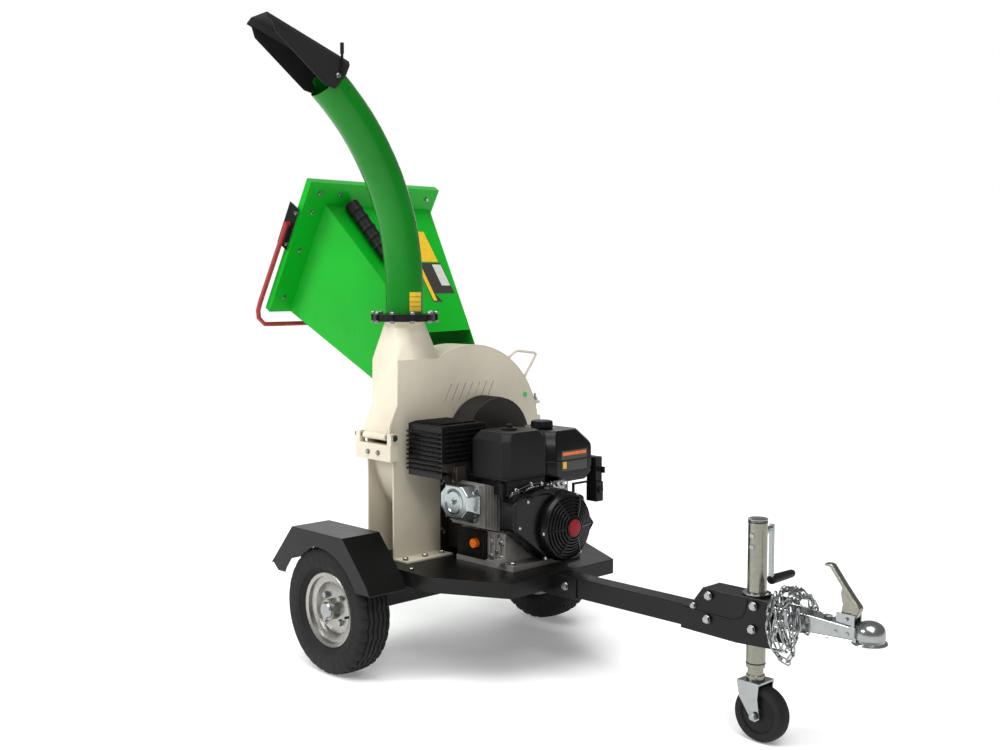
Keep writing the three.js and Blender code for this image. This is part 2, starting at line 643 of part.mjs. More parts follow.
function sweptTube(radius, extra) {
  const { base, bend, start, sweep } = CHUTE;
  const bottom = base + 7 + GAP - extra;
  const path = new THREE.CurvePath();
  path.add(new THREE.LineCurve3(new THREE.Vector3(0, 0, bottom), new THREE.Vector3(0, 0, start)));
  const count = 10;
  const at = (angle) => new THREE.Vector3(bend * (1 - Math.cos(angle)), 0, start + bend * Math.sin(angle));
  for (let i = 0; i < count; i += 1) {
    path.add(new THREE.LineCurve3(at(rad((sweep * i) / count)), at(rad((sweep * (i + 1)) / count))));
  }
  const end = rad(sweep);
  const beyond = new THREE.Vector3(Math.sin(end), 0, Math.cos(end)).multiplyScalar(extra + 0.01).add(at(end));
  path.add(new THREE.LineCurve3(at(end), beyond));
  const section = new THREE.Shape(circle(radius, 0, 0, 24).map(([u, v]) => new THREE.Vector2(u, v)));
  return new THREE.ExtrudeGeometry(section, { steps: 16, extrudePath: path });
}

function chute(group) {
  const { base, tube, wall } = CHUTE;
  const from = base + 7 + GAP;
  const flange = ring('z', COLLAR.flange - 2, tube - wall, from, from + 6, 0, 0, 32);
  const tab = [[-50, -14], [0, -14], [10, -10], [14, 0], [10, 10], [0, 14], [-50, 14]].map(([u, v]) => {
    const end = rad(CHUTE.sweep);
    return [PIVOT.s + u * Math.sin(end) - v * Math.cos(end), PIVOT.z + u * Math.cos(end) + v * Math.sin(end)];
  });
  const sides = [-1, 1].flatMap((side) => [
    prism(tab, 'y', ...span(side, tube * 0.9, tube + 2)),
    rod('y', 5, ...span(side, tube, tube + 9), PIVOT.s, PIVOT.z, 10),
  ]);
  const body = join(sweptTube(tube, 0), flange, ...sides);
  add('chute', 'green', cut(body, sweptTube(tube - wall, 4)), group);
}

function deflector(group) {
  const side = [[226, 1864], [495, 1976], [477, 1921], [389, 1846], [316, 1784], [282, 1776], [244, 1821]];
  const [[s0, z0], [s1, z1]] = side;
  const lean = Math.atan2(z1 - z0, s1 - s0);
  const local = (u, v) => [
    s0 + u * Math.cos(lean) - v * Math.sin(lean),
    z0 + u * Math.sin(lean) + v * Math.cos(lean),
  ];
  const section = (half, top, chamfer, low) => [[-half, low], [half, low], [half, top - chamfer],
    [half - chamfer, top], [-half + chamfer, top], [-half, top - chamfer]];
  const along = (outline, u0, u1) => hull([u0, u1].flatMap((u) => outline.map(([y, v]) => {
    const [s, z] = local(u, v);
    return [s, y, z];
  })));
  const channel = cut(along(section(65.5, 0, 15, -150), 0, 291), along(section(62.5, -3, 14, -153), -5, 296));
  const cheeks = overlap(channel, prism(side, 'y', -70, 70));
  const slots = rod('y', 5 + GAP, -70, 70, PIVOT.s, PIVOT.z, 12);
  const top = overlap(channel, along([[-70, 5], [70, 5], [70, -20], [-70, -20]], -1, 292));
  add('deflector', 'black', cut(join(cheeks, top), slots), group);
  const lever = join(
    rod('y', 7, 66, 74, 262, 1832, 8),
    box(259, 265, 69, 75, 1832, 1900),
    rod('z', 6, 1880, 1912, 262, 72, 8),
  );
  add('deflector_lever', 'plastic', lever, group);
}

// ---------------------------------------------------------------- hopper
function leaned(geometry) {
  return geometry.rotateY(rad(MOUTH.lean)).translate(MOUTH.x, 0, MOUTH.z);
}

function onMouth(out, y, up) {
  const point = new THREE.Vector3(-out, y, up).applyAxisAngle(Y, rad(MOUTH.lean));
  return [point.x + MOUTH.x, point.y, point.z + MOUTH.z];
}

const FUNNEL = { near: -168, far: 305, low: 2, high: 434 };

function funnel(inset, beyond) {
  const i = inset;
  const mouth = [
    [FUNNEL.near + i, FUNNEL.low + i],
    [FUNNEL.far - i, FUNNEL.low + i],
    [FUNNEL.far - i, FUNNEL.high - i],
    [FUNNEL.near + i, FUNNEL.high - i],
  ].map(([y, up]) => onMouth(beyond, y, up));
  const knee = [
    [2 + i, THROAT.low + i],
    [228 - i, THROAT.low + i],
    [228 - i, 1072 - i],
    [-15 + i, 1068 - i],
  ].map(([y, z]) => [THROAT.knee, y, z]);
  const end = HOUSING.rear - GAP + beyond;
  const throat = [[THROAT.near + i, THROAT.low + i], [THROAT.far - i, THROAT.low + i],
    [THROAT.far - i, THROAT.high - i], [THROAT.near + i, THROAT.high - i]].map(([y, z]) => [end, y, z]);
  return join(hull([...mouth, ...knee]), hull([...knee, ...throat]));
}

function hopper() {
  const { height, near, far, lip } = MOUTH;
  const frame = cut(box(-lip, 3, near, far, 0, height), box(-lip - 1, 0, near + 3, far - 3, 3, height - 3));
  const rearFace = HOUSING.rear - GAP;
  const { near: throatNear, far: throatFar, low, high } = THROAT;
  const flange = box(rearFace - 5, rearFace, throatNear - 18, throatFar + 18, low - 10, high + 16);
  const ends = [[near - 7, near + 1], [far - 1, far + 7]];
  const brackets = ends.map(([a, b]) => leaned(box(-62, -4, a, b, 250, 400)));
  const bores = [[near - 8, near - 1], [far + 1, far + 8]].map(([a, b]) => (
    rod('y', BARPIVOT.pin + GAP, a, b, BARPIVOT.x, BARPIVOT.z, 16)
  ));
  const body = join(leaned(frame), funnel(0, 0), flange, ...brackets);
  add('hopper', 'green', cut(body, funnel(3, 8), ...bores));
}

function curtain() {
  const clamp = leaned(box(-9, -GAP, -115, 255, 436, 466));
  const strip = box(-447, -443, -115, 255, 1180, 1482);
  add('infeed_curtain', 'rubber', join(clamp, strip));
}

function documentTube() {
  const a = new THREE.Vector3(-439, -84, 1471);
  const b = new THREE.Vector3(THROAT.knee, 44, 1068);
  const along = b.clone().sub(a).normalize();
  const across = new THREE.Vector3().crossVectors(along, Y).normalize();
  if (across.z < 0) across.negate();
  const middle = a.clone().addScaledVector(along, 135).addScaledVector(across, 27);
  const body = join(rod('y', 23, -120, 88, 0, 0, 16), rod('y', 25.5, 86, 118, 0, 0, 16));
  body.applyQuaternion(new THREE.Quaternion().setFromUnitVectors(Y, along.clone().negate()));
  add('document_tube', 'plastic', body.translate(middle.x, middle.y, middle.z));
}

function safetyBar() {
  const { near, far } = MOUTH;
  const { x, z } = BARPIVOT;
  const out = 22;
  const route = [
    [x, near - out, z], [x - 190, near - out, z - 304], [x - 172, near - out, z - 350],
    [x - 172, far + out, z - 350], [x - 190, far + out, z - 304], [x, far + out, z],
  ];
  const bar = bentBar(route, 8.5, 26, 8, 44);
  const pins = [[near - out - 6, near - 1.5], [far + 1.5, far + out + 6]].map(([a, b]) => (
    rod('y', BARPIVOT.pin, a, b, x, z, 12)
  ));
  add('safety_bar', 'red', join(bar, ...pins));
}

// ---------------------------------------------------------------- engine
function engineBlock() {
  const foot = DECK.top + GAP;
  const crankcase = join(
    box(186, 440, -128, 172, foot, foot + 16),
    box(200, 398, -118, 160, foot + 14, 440),
    box(200, 398, -78, 160, 438, 560),
  );
  const barrel = hull([
    [222, -70, 436], [352, -70, 436], [222, -70, 558], [352, -70, 558],
    [222, -186, 470], [352, -186, 470], [222, -186, 592], [352, -186, 592],
  ]);
  const bore = rod('x', ENGINE.shaft + 2, 199, 212, ENGINE.y, ENGINE.z, 16);
  const drain = rod('y', 13, -150, -117, 392, 356, 8);
  add('engine_block', 'alloy', cut(join(crankcase, barrel, drain), bore));
}

function octagon(u0, u1, v0, v1, corner) {
  return [[u0 + corner, v0], [u1 - corner, v0], [u1, v0 + corner], [u1, v1 - corner], [u1 - corner, v1],
    [u0 + corner, v1], [u0, v1 - corner], [u0, v0 + corner]];
}

function engineCovers() {
  const base = octagon(212, 364, 474, 590, 30);
  const face = octagon(228, 348, 500, 596, 28);
  add('valve_cover', 'zinc', hull([
    ...base.map(([x, z]) => [x, -187, z]), ...base.map(([x, z]) => [x, -196, z + 2]),
    ...face.map(([x, z]) => [x, -232, z - 6]),
  ]));
  const shroud = [[-152, 462], [-148, 544], [-110, 565], [70, 565], [160, 535], [186, 452], [152, 378],
    [60, 352], [-8, 356]];
  add('blower_housing', 'black', hull(bothEnds(shroud, 401, 468)));
  const dome = [[0, 468 + GAP], [108, 468 + GAP], [108, 478], [98, 506], [60, 514], [34, 518], [0, 518]];
  const hub = rod('x', 30, 517, 523, ENGINE.y, ENGINE.z, 24, 26);
  add('recoil_cover', 'black', join(turned(dome, 'x', 0, ENGINE.y, ENGINE.z, 36), hub));
  const intakePipe = rod('y', 17, -90, -60, 326, 582, 12);
  add('carburettor', 'alloy', join(box(300, 352, -66, -20, 566, 603), intakePipe));
  const stick = rod('y', 8, -130, -118 - GAP, 280, 398, 8);
  add('oil_dipstick', 'orange', join(stick, rod('y', 15, -146, -129, 280, 398, 8)));
  const solenoid = rod('x', 17, 250, 380, 206, 485, 12);
  add('starter_motor', 'black', join(rod('x', 33, 232, 392, 206, 440, 20), solenoid));
}

function exhaust() {
  const { rear, front, near, far, low, high, sheet } = SHIELD;
  const shield = cut(
    box(rear, front, near, far, low, high),
    box(rear + sheet, front + 1, near + sheet, far - sheet, low - 1, high - sheet),
  );
  add('muffler_shield', 'black', shield);
  const can = hull([...bothEnds(octagon(-240, -84, 622, 752, 22), 112, 246)]);
  const pipe = box(236, 256, -190, -150, 593, 640);
  add('muffler', 'steel', join(can, pipe));
}

function intakeAndTank() {
  const level = (outline, z) => outline.map(([x, y]) => [x, y, z]);
  const side = octagon(262, 430, -148, 42, 20);
  const lid = octagon(276, 416, -132, 28, 24);
  add('air_cleaner', 'plastic', hull([...level(side, 604), ...level(side, 726), ...level(lid, 750)]));
  const low = octagon(212, 420, 66, 244, 26);
  const mid = octagon(198, 429, 47, 262, 26);
  const high = octagon(222, 408, 66, 214, 30);
  const tank = [...level(low, 575), ...level(mid, 600), ...level(mid, 688), ...level(high, 738)];
  add('fuel_tank', 'black', hull(tank));
  add('fuel_cap', 'plastic', rod('z', 35, 738 + GAP, 762, 312, 128, 16, 33));
}

function controls() {
  const panel = join(
    box(384, 424, 264, 294, 556, 640),
    box(390, 398, 186, 266, 556, 562),
    box(390, 398, 186, 192, 520, 560),
  );
  const key = join(rod('x', 8, 423, 432, 279, 600, 8), box(431, 448, 276, 282, 590, 610));
  add('control_box', 'plastic', join(panel, key));
}

// ---------------------------------------------------------------- assembly
roadWheel(-1, 'right');
roadWheel(1, 'left');
axleFrame();
deck();
drawbar();
fender(-1, 'right');
fender(1, 'left');
hitchBracket();
coupler();
couplerLatch();
safetyChains();
jack();
jackCrank();
caster();
hood();
hoodFittings();
lowerHousing();
housingHinge();
clampBolt();
rotor();
drive();
guard();
const swivel = chuteGroup();
chute(swivel);
deflector(swivel);
hopper();
curtain();
documentTube();
safetyBar();
engineBlock();
engineCovers();
exhaust();
intakeAndTank();
controls();

export default machine;
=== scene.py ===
from math import copysign, cos, pi, radians, sin, sqrt

import bmesh
import bpy
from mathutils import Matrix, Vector


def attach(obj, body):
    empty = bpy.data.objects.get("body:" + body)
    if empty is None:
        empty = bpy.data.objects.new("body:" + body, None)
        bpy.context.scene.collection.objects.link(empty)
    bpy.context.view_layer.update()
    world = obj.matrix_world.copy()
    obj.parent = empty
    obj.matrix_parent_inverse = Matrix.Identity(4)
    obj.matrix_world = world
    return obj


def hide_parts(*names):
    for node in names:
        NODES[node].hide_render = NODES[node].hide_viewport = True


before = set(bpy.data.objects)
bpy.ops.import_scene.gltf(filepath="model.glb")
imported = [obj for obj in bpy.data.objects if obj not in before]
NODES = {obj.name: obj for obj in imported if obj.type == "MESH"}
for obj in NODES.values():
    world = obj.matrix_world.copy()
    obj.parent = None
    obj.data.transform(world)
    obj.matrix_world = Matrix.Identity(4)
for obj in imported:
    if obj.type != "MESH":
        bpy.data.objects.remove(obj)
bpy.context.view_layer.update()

MM = 0.001
# The machine's zero is under the axle, on the drawbar's centreline, at the ground. This is the
# frame's zero as seen from there, in metres.
ORIGIN = Vector((0.441, -0.086, 0.0))

# The machine's main places, in millimetres.
AXLE_Z = 200
WHEEL_Y = 454                           # from the centreline to the middle of a road wheel
JACK_X = 1219.0
JOCKEY_HUB = (1241, 0, 75)
CHUTE_Y = -181.0
ROTOR_YZ = (50, 681)
GUARD_YZ = (75, 688)                    # the middle of the belt guard's round top
RECOIL_FACE = (468, 60, 452)            # on the engine shaft's axis
LEAN = radians(30.8)                    # how far the hopper's mouth leans back

# The camera, fitted to points read from the photograph.
AZIMUTH, DROP = radians(45.86), radians(4.46)
CAMERA_PLACE = (2993.4, -2661.0, 1209.2)
SENSOR, LENS = 36.0, 43.64
FAR_CLIP = 60.0

# Shading: where an edge counts as sharp, and where it is rounded.
SHARP = radians(32)
CAD_SHARP = radians(33)
ROUNDED_FROM = radians(35)
WELD = 1e-6                             # metres, for a new piece
CAD_WELD = 1e-5                         # metres, for a CAD node


def at(x, y, z):
    """A point given in millimetres from the machine's own zero, in the frame."""
    return Vector((x, y, z)) * MM - ORIGIN


# ------------------------------------------------------------------ camera
def camera():
    level = cos(DROP)
    forward = Vector((-sin(AZIMUTH) * level, cos(AZIMUTH) * level, -sin(DROP)))
    data = bpy.data.cameras.new("camera")
    data.sensor_width = SENSOR
    data.lens = LENS
    data.clip_end = FAR_CLIP
    eye = bpy.data.objects.new("camera", data)
    eye.location = at(*CAMERA_PLACE)
    eye.rotation_euler = forward.to_track_quat("-Z", "Y").to_euler()
    bpy.context.scene.collection.objects.link(eye)
    bpy.context.scene.camera = eye


# ------------------------------------------------------------------ materials
DUST = (0.42, 0.38, 0.3)
ROAD_DUST = (0.3, 0.27, 0.22)
STAIN = (0.24, 0.2, 0.16)
EDGE_WEAR = 0.0015                      # metres from an edge that rubbing reaches
UNWORN, WORN = 0.995, 0.93              # cosines between a face's normal and its bevelled one


class Nodes:
    """A short way to wire one material."""

    def __init__(self, name):
        self.material = bpy.data.materials.new(name)
        self.material.use_nodes = True
        self.tree = self.material.node_tree
        self.shader = self.tree.nodes["Principled BSDF"]
        self.coords = self.node("ShaderNodeTexCoord").outputs["Object"]

    def node(self, kind, **values):
        made = self.tree.nodes.new(kind)
        for key, value in values.items():
            setattr(made, key, value)
        return made

    def link(self, source, target):
        self.tree.links.new(source, target)

    def stretched(self, scale):
        mapping = self.node("ShaderNodeMapping")
        mapping.inputs["Scale"].default_value = scale
        self.link(self.coords, mapping.inputs["Vector"])
        return mapping.outputs["Vector"]

    def noise(self, scale, detail=4.0, rough=0.55, vector=None):
        made = self.node("ShaderNodeTexNoise")
        made.inputs["Scale"].default_value = scale
        made.inputs["Detail"].default_value = detail
        made.inputs["Roughness"].default_value = rough
        self.link(vector or self.coords, made.inputs["Vector"])
        return made.outputs["Fac"]

    def cells(self, scale):
        made = self.node("ShaderNodeTexVoronoi")
        made.inputs["Scale"].default_value = scale
        self.link(self.coords, made.inputs["Vector"])
        return made

    def ramp(self, source, low, high, start=0.3, end=0.7):
        made = self.node("ShaderNodeValToRGB")
        made.color_ramp.elements[0].position = start
        made.color_ramp.elements[1].position = end
        made.color_ramp.elements[0].color = (*low, 1.0)
        made.color_ramp.elements[1].color = (*high, 1.0)
        self.link(source, made.inputs["Fac"])
        return made.outputs["Color"]

    def spread(self, source, low, high):
        made = self.node("ShaderNodeMapRange")
        made.inputs["To Min"].default_value = low
        made.inputs["To Max"].default_value = high
        self.link(source, made.inputs["Value"])
        return made.outputs["Result"]

    def mix(self, factor, first, second):
        made = self.node("ShaderNodeMix", data_type="RGBA")
        self.link(factor, made.inputs["Factor"])
        for source, socket in ((first, made.inputs[6]), (second, made.inputs[7])):
            if isinstance(source, tuple):
                socket.default_value = (*source, 1.0)
            else:
                self.link(source, socket)
        return made.outputs[2]

    def bump(self, source, strength, distance):
        made = self.node("ShaderNodeBump")
        made.inputs["Strength"].default_value = strength
        made.inputs["Distance"].default_value = distance
        self.link(source, made.inputs["Height"])
        self.link(made.outputs["Normal"], self.shader.inputs["Normal"])

    def edges(self, radius):
        """About 1 on worn edges and 0 on flat sheet."""
        bevel = self.node("ShaderNodeBevel", samples=4)
        bevel.inputs["Radius"].default_value = radius
        flat = self.node("ShaderNodeNewGeometry")
        dot = self.node("ShaderNodeVectorMath", operation="DOT_PRODUCT")
        self.link(bevel.outputs["Normal"], dot.inputs[0])
        self.link(flat.outputs["Normal"], dot.inputs[1])
        made = self.node("ShaderNodeMapRange")
        made.inputs["From Min"].default_value = UNWORN
        made.inputs["From Max"].default_value = WORN
        self.link(dot.outputs["Value"], made.inputs["Value"])
        return made.outputs["Result"]


def scaled(colour, factor):
    return tuple(channel * factor for channel in colour)


def paint(name, colour, rough=0.3, coat=0.1, dust=0.02, worn=0.3, specular=0.3):
    """Powder coat: a slow shift of shade, orange peel, edges rubbed lighter, patches of dust."""
    m = Nodes(name)
    shade = m.ramp(m.noise(3.0, 6.0), scaled(colour, 0.86), scaled(colour, 1.08))
    grime = m.noise(14.0, 8.0, 0.7)
    dusty = m.mix(m.spread(grime, 0.0, dust), shade, DUST)
    edge = m.node("ShaderNodeMath", operation="MULTIPLY")
    edge.inputs[1].default_value = worn
    m.link(m.edges(EDGE_WEAR), edge.inputs[0])
    lighter = tuple(min(1.0, channel * 1.2 + 0.02) for channel in colour)
    m.link(m.mix(edge.outputs[0], dusty, lighter), m.shader.inputs["Base Color"])
    m.link(m.spread(grime, rough - 0.06, rough + 0.16), m.shader.inputs["Roughness"])
    m.shader.inputs["Coat Weight"].default_value = coat
    m.shader.inputs["Specular IOR Level"].default_value = specular
    m.shader.inputs["Coat Roughness"].default_value = 0.18
    m.bump(m.noise(420.0, 2.0), strength=0.12, distance=0.0004)
    return m.material


def metal(name, colour, rough, grain=(1.0, 1.0, 1.0), spangle=0.0, stained=0.12):
    """Bare or plated metal: crystals, fine scratches that grain can draw out, faint stains."""
    m = Nodes(name)
    crystals = m.cells(90.0).outputs["Color"]
    plate = m.ramp(crystals, scaled(colour, 1.0 - spangle), scaled(colour, 1.0 + spangle * 0.4), 0.2, 0.8)
    stains = m.noise(9.0, 8.0, 0.72)
    m.link(m.mix(m.spread(stains, -0.1, stained), plate, STAIN), m.shader.inputs["Base Color"])
    scratches = m.noise(260.0, 3.0, 0.6, m.stretched(grain))
    m.link(m.spread(scratches, rough - 0.1, rough + 0.14), m.shader.inputs["Roughness"])
    m.shader.inputs["Metallic"].default_value = 0.95
    m.bump(scratches, strength=0.07, distance=0.0003)
    return m.material


def cast(name, colour, rough, metallic):
    """Sand cast: a grainy skin with darker pits."""
    m = Nodes(name)
    pits = m.noise(330.0, 5.0, 0.7)
    skin = m.ramp(m.noise(22.0, 7.0), scaled(colour, 0.72), colour)
    m.link(m.mix(m.spread(pits, 0.0, 0.35), skin, scaled(colour, 0.55)), m.shader.inputs["Base Color"])
    m.link(m.spread(pits, rough - 0.05, rough + 0.2), m.shader.inputs["Roughness"])
    m.shader.inputs["Metallic"].default_value = metallic
    m.bump(pits, strength=0.45, distance=0.0008)
    return m.material


def plastic(name, colour, rough, texture=600.0):
    """Moulded plastic with a fine leathery grain and a little fading."""
    m = Nodes(name)
    fade = m.ramp(m.noise(5.0, 6.0), scaled(colour, 0.8), scaled(colour, 1.2))
    grain = m.cells(texture).outputs["Distance"]
    m.link(fade, m.shader.inputs["Base Color"])
    m.link(m.spread(m.noise(30.0, 6.0), rough - 0.08, rough + 0.12), m.shader.inputs["Roughness"])
    m.shader.inputs["Specular IOR Level"].default_value = 0.16
    m.bump(grain, strength=0.25, distance=0.0004)
    return m.material


def rubber(name, colour, dust):
    """Rubber with scuffs and a film of road dust."""
    m = Nodes(name)
    scuffs = m.noise(38.0, 9.0, 0.75)
    base = m.ramp(m.noise(6.0, 4.0), scaled(colour, 0.7), scaled(colour, 1.3))
    m.link(m.mix(m.spread(scuffs, -0.05, dust), base, ROAD_DUST), m.shader.inputs["Base Color"])
    m.link(m.spread(scuffs, 0.55, 0.92), m.shader.inputs["Roughness"])
    m.shader.inputs["Specular IOR Level"].default_value = 0.2
    m.bump(m.noise(500.0, 4.0), strength=0.3, distance=0.0004)
    return m.material


def exhaust_steel():
    """Heat-tinted sheet: straw and blue drifting over dull steel."""
    m = Nodes("exhaust_steel")
    tint = m.ramp(m.noise(11.0, 5.0), (0.08, 0.055, 0.035), (0.1, 0.1, 0.115))
    soot = m.noise(40.0, 8.0, 0.7)
    m.link(m.mix(m.spread(soot, 0.0, 0.5), tint, (0.06, 0.05, 0.045)), m.shader.inputs["Base Color"])
    m.link(m.spread(soot, 0.35, 0.7), m.shader.inputs["Roughness"])
    m.shader.inputs["Metallic"].default_value = 0.85
    m.bump(soot, strength=0.25, distance=0.0005)
    return m.material


def sticker(name, colour):
    """A printed vinyl patch with no print on it, a little scuffed."""
    m = Nodes(name)
    scuffs = m.noise(60.0, 8.0, 0.7)
    m.link(m.ramp(scuffs, scaled(colour, 0.78), colour, 0.25, 0.6), m.shader.inputs["Base Color"])
    m.link(m.spread(scuffs, 0.25, 0.55), m.shader.inputs["Roughness"])
    m.bump(scuffs, strength=0.08, distance=0.0002)
    return m.material


def floor_finish():
    """A pale matt floor that glows a little, so that it blends into the backdrop."""
    m = Nodes("floor")
    tone = m.ramp(m.noise(1.5, 4.0), (0.9, 0.9, 0.9), (0.94, 0.94, 0.94))
    m.link(tone, m.shader.inputs["Base Color"])
    m.link(m.spread(m.noise(40.0, 4.0), 0.5, 0.65), m.shader.inputs["Roughness"])
    m.link(tone, m.shader.inputs["Emission Color"])
    m.shader.inputs["Emission Strength"].default_value = 0.22
    return m.material


GREEN = paint("green_paint", (0.0005, 0.37, 0.014), rough=0.26, coat=0.1, dust=0.004, worn=0.15, specular=0.2)
# The chute's green is the hopper's green made darker: painted shade.
CHUTE_PAINTED_SHADE_GREEN = paint("chute_painted_shade_green", (0.0004, 0.165, 0.007), rough=0.14, coat=0.1, dust=0.002, worn=0.15,
                    specular=0.2)
BEIGE = paint("beige_paint", (0.62, 0.57, 0.455), rough=0.4, coat=0.05, dust=0.06, worn=0.2)
BLACK = paint("black_paint", (0.0034, 0.0034, 0.0033), rough=0.3, coat=0.03, dust=0.005, worn=0.15,
              specular=0.19)
CHARCOAL = paint("charcoal_paint", (0.014, 0.0138, 0.0138), rough=0.48, coat=0.0, dust=0.01, worn=0.2,
                 specular=0.14)
GUARD_BLACK = paint("guard_black", (0.016, 0.0135, 0.012), rough=0.42, coat=0.0, dust=0.02, worn=0.25,
                    specular=0.2)
RED = paint("red_paint", (0.32, 0.02, 0.018), rough=0.3, coat=0.2, dust=0.02, worn=0.3)
SILVER = metal("silver_paint", (0.33, 0.325, 0.3), 0.28, grain=(1, 1, 1), spangle=0.08, stained=0.08)
ENGINE_BLACK = paint("engine_black", (0.0035, 0.0035, 0.0036), rough=0.22, coat=0.1, dust=0.003, worn=0.12,
                     specular=0.16)
ZINC = metal("zinc", (0.3, 0.315, 0.315), 0.2, grain=(1, 1, 1), spangle=0.06, stained=0.04)
PASSIVATED = metal("yellow_zinc", (0.23, 0.228, 0.19), 0.22, grain=(1, 1, 1), spangle=0.07, stained=0.06)
STEEL = metal("steel", (0.42, 0.42, 0.42), 0.3, grain=(1, 1, 30))
# The blue-green in this chrome's colour is a painted reflection.
REFLECTION_TINTED_CHROME = metal("chrome_painted_reflection", (0.36, 0.4, 0.4), 0.16, grain=(30, 1, 1), spangle=0.03, stained=0.03)
ALLOY = cast("cast_alloy", (0.32, 0.31, 0.285), 0.4, metallic=0.6)
PLASTIC = plastic("black_plastic", (0.0075, 0.0076, 0.0078), 0.45)
ORANGE = plastic("orange_plastic", (0.7, 0.13, 0.01), 0.4, texture=400.0)
PLUG_GREEN = plastic("green_plastic", (0.03, 0.5, 0.1), 0.35, texture=400.0)
RED_PLASTIC = plastic("red_plastic", (0.24, 0.008, 0.012), 0.35, texture=500.0)
TYRE = rubber("tyre", (0.011, 0.011, 0.011), dust=0.05)
RUBBER = rubber("rubber", (0.012, 0.012, 0.012), dust=0.04)
EXHAUST = exhaust_steel()
YELLOW = sticker("yellow_label", (0.8, 0.5, 0.015))
WHITE = sticker("white_label", (0.6, 0.6, 0.57))
LABEL_DARK = sticker("dark_label", (0.035, 0.03, 0.025))
LABEL_ORANGE = sticker("orange_label", (0.75, 0.14, 0.01))


# ------------------------------------------------------------------ mesh code
class Shape:
    """Collects faces in millimetres in the machine's own frame, then becomes one piece."""

    def __init__(self):
        self.mesh = bmesh.new()

    def grid(self, rings, closed=True, capped=True):
        """A skin over rows of points. Each row is a loop when closed."""
        rows = [[self.mesh.verts.new(at(*p)) for p in ring] for ring in rings]
        count = len(rows[0])
        for one, two in zip(rows, rows[1:]):
            for i in range(count if closed else count - 1):
                j = (i + 1) % count
                self.mesh.faces.new((one[i], one[j], two[j], two[i]))
        if capped and closed:
            self.mesh.faces.new(rows[0][::-1])
            self.mesh.faces.new(rows[-1])
        return self

    def box(self, x0, x1, y0, y1, z0, z1):
        low = [(x0, y0, z0), (x1, y0, z0), (x1, y1, z0), (x0, y1, z0)]
        return self.grid([low, [(x, y, z1) for x, y, _ in low]])

    def lathe(self, profile, centre, axis, sides=48, closed=True):
        """Turns (radius, distance) points about an axis through centre."""
        centre, axis = Vector(centre), Vector(axis).normalized()
        side = axis.orthogonal().normalized()
        other = axis.cross(side)
        rings = []
        for r, d in profile:
            ring = []
            for i in range(sides):
                turn = 2 * pi * i / sides
                ring.append(centre + axis * d + (side * cos(turn) + other * sin(turn)) * r)
            rings.append(ring)
        if closed:
            rings.append(rings[0])
        return self.grid(rings, capped=not closed)

    def rod(self, start, end, radius, sides=20):
        """A straight bar with its ends slightly chamfered."""
        start, end = Vector(start), Vector(end)
        long = (end - start).length
        edge = radius * 0.15
        profile = [(radius - edge, 0), (radius, edge), (radius, long - edge), (radius - edge, long)]
        return self.lathe(profile, start, end - start, sides, closed=False)

    def tube(self, path, radius, sides=10):
        """A round bar along points."""
        points = [Vector(p) for p in path]
        rings = []
        side = None
        for i, p in enumerate(points):
            along = (points[min(i + 1, len(points) - 1)] - points[max(i - 1, 0)]).normalized()
            side = along.orthogonal() if side is None else side - along * side.dot(along)
            side.normalize()
            other = along.cross(side)
            turns = [2 * pi * k / sides for k in range(sides)]
            rings.append([p + (side * cos(t) + other * sin(t)) * radius for t in turns])
        return self.grid(rings)

    def hexagon(self, centre, axis, across, high):
        """A bolt head with its washer, standing on centre along axis."""
        centre, axis = Vector(centre), Vector(axis).normalized()
        washer = [(across * 0.62, 0), (across * 0.62, 1.5), (across * 0.3, 1.5)]
        self.lathe(washer, centre, axis, 18, closed=False)
        start = centre + axis * 1.0
        r = across / sqrt(3)
        return self.lathe([(r, 0), (r, high * 0.8), (r * 0.86, high)], start, axis, 6, closed=False)

    def piece(self, name, material, body="chassis", replaces=(), bevel=0.0):
        """Ends the shape: one object with its finish, on its body. The bevel is in metres."""
        bmesh.ops.remove_doubles(self.mesh, verts=self.mesh.verts, dist=WELD)
        bmesh.ops.recalc_face_normals(self.mesh, faces=self.mesh.faces)
        data = bpy.data.meshes.new(name)
        self.mesh.to_mesh(data)
        self.mesh.free()
        made = bpy.data.objects.new(name, data)
        bpy.context.scene.collection.objects.link(made)
        data.materials.append(material)
        finish_surface(made, bevel=bevel)
        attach(made, body)
        if replaces:
            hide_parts(*replaces)
        return made


def finish_surface(thing, smooth=True, bevel=0.0):
    if smooth:
        thing.data.shade_smooth()
        thing.data.set_sharp_from_angle(angle=SHARP)
    if bevel:
        rounding = thing.modifiers.new("rounding", "BEVEL")
        rounding.width = bevel
        rounding.segments = 2
        rounding.limit_method = "ANGLE"
        rounding.angle_limit = ROUNDED_FROM
        rounding.use_clamp_overlap = True
        rounding.harden_normals = True


def mouth(out, y, up):
    """A point on the hopper's leaning mouth: outwards, across and up its face."""
    x = -out * cos(LEAN) + up * sin(LEAN)
    z = out * sin(LEAN) + up * cos(LEAN)
    return Vector((-661 + x, y, 1100 + z))


def around(centre, axis, radius, turn):
    """A point on a circle about an axis, and the ray that leads to it."""
    axis = Vector(axis).normalized()
    side = axis.orthogonal().normalized()
    ray = side * cos(turn) + axis.cross(side) * sin(turn)
    return Vector(centre) + ray * radius, ray


def rounded(points, radius, steps=5):
    """Points with each inner corner turned into a short arc."""
    points = [Vector(p) for p in points]
    made = [points[0]]
    for a, b, c in zip(points, points[1:], points[2:]):
        start = b + (a - b).normalized() * radius
        end = b + (c - b).normalized() * radius
        for i in range(steps + 1):
            t = i / steps
            made.append(start * (1 - t) ** 2 + b * 2 * t * (1 - t) + end * t * t)
    made.append(points[-1])
    return made


camera()


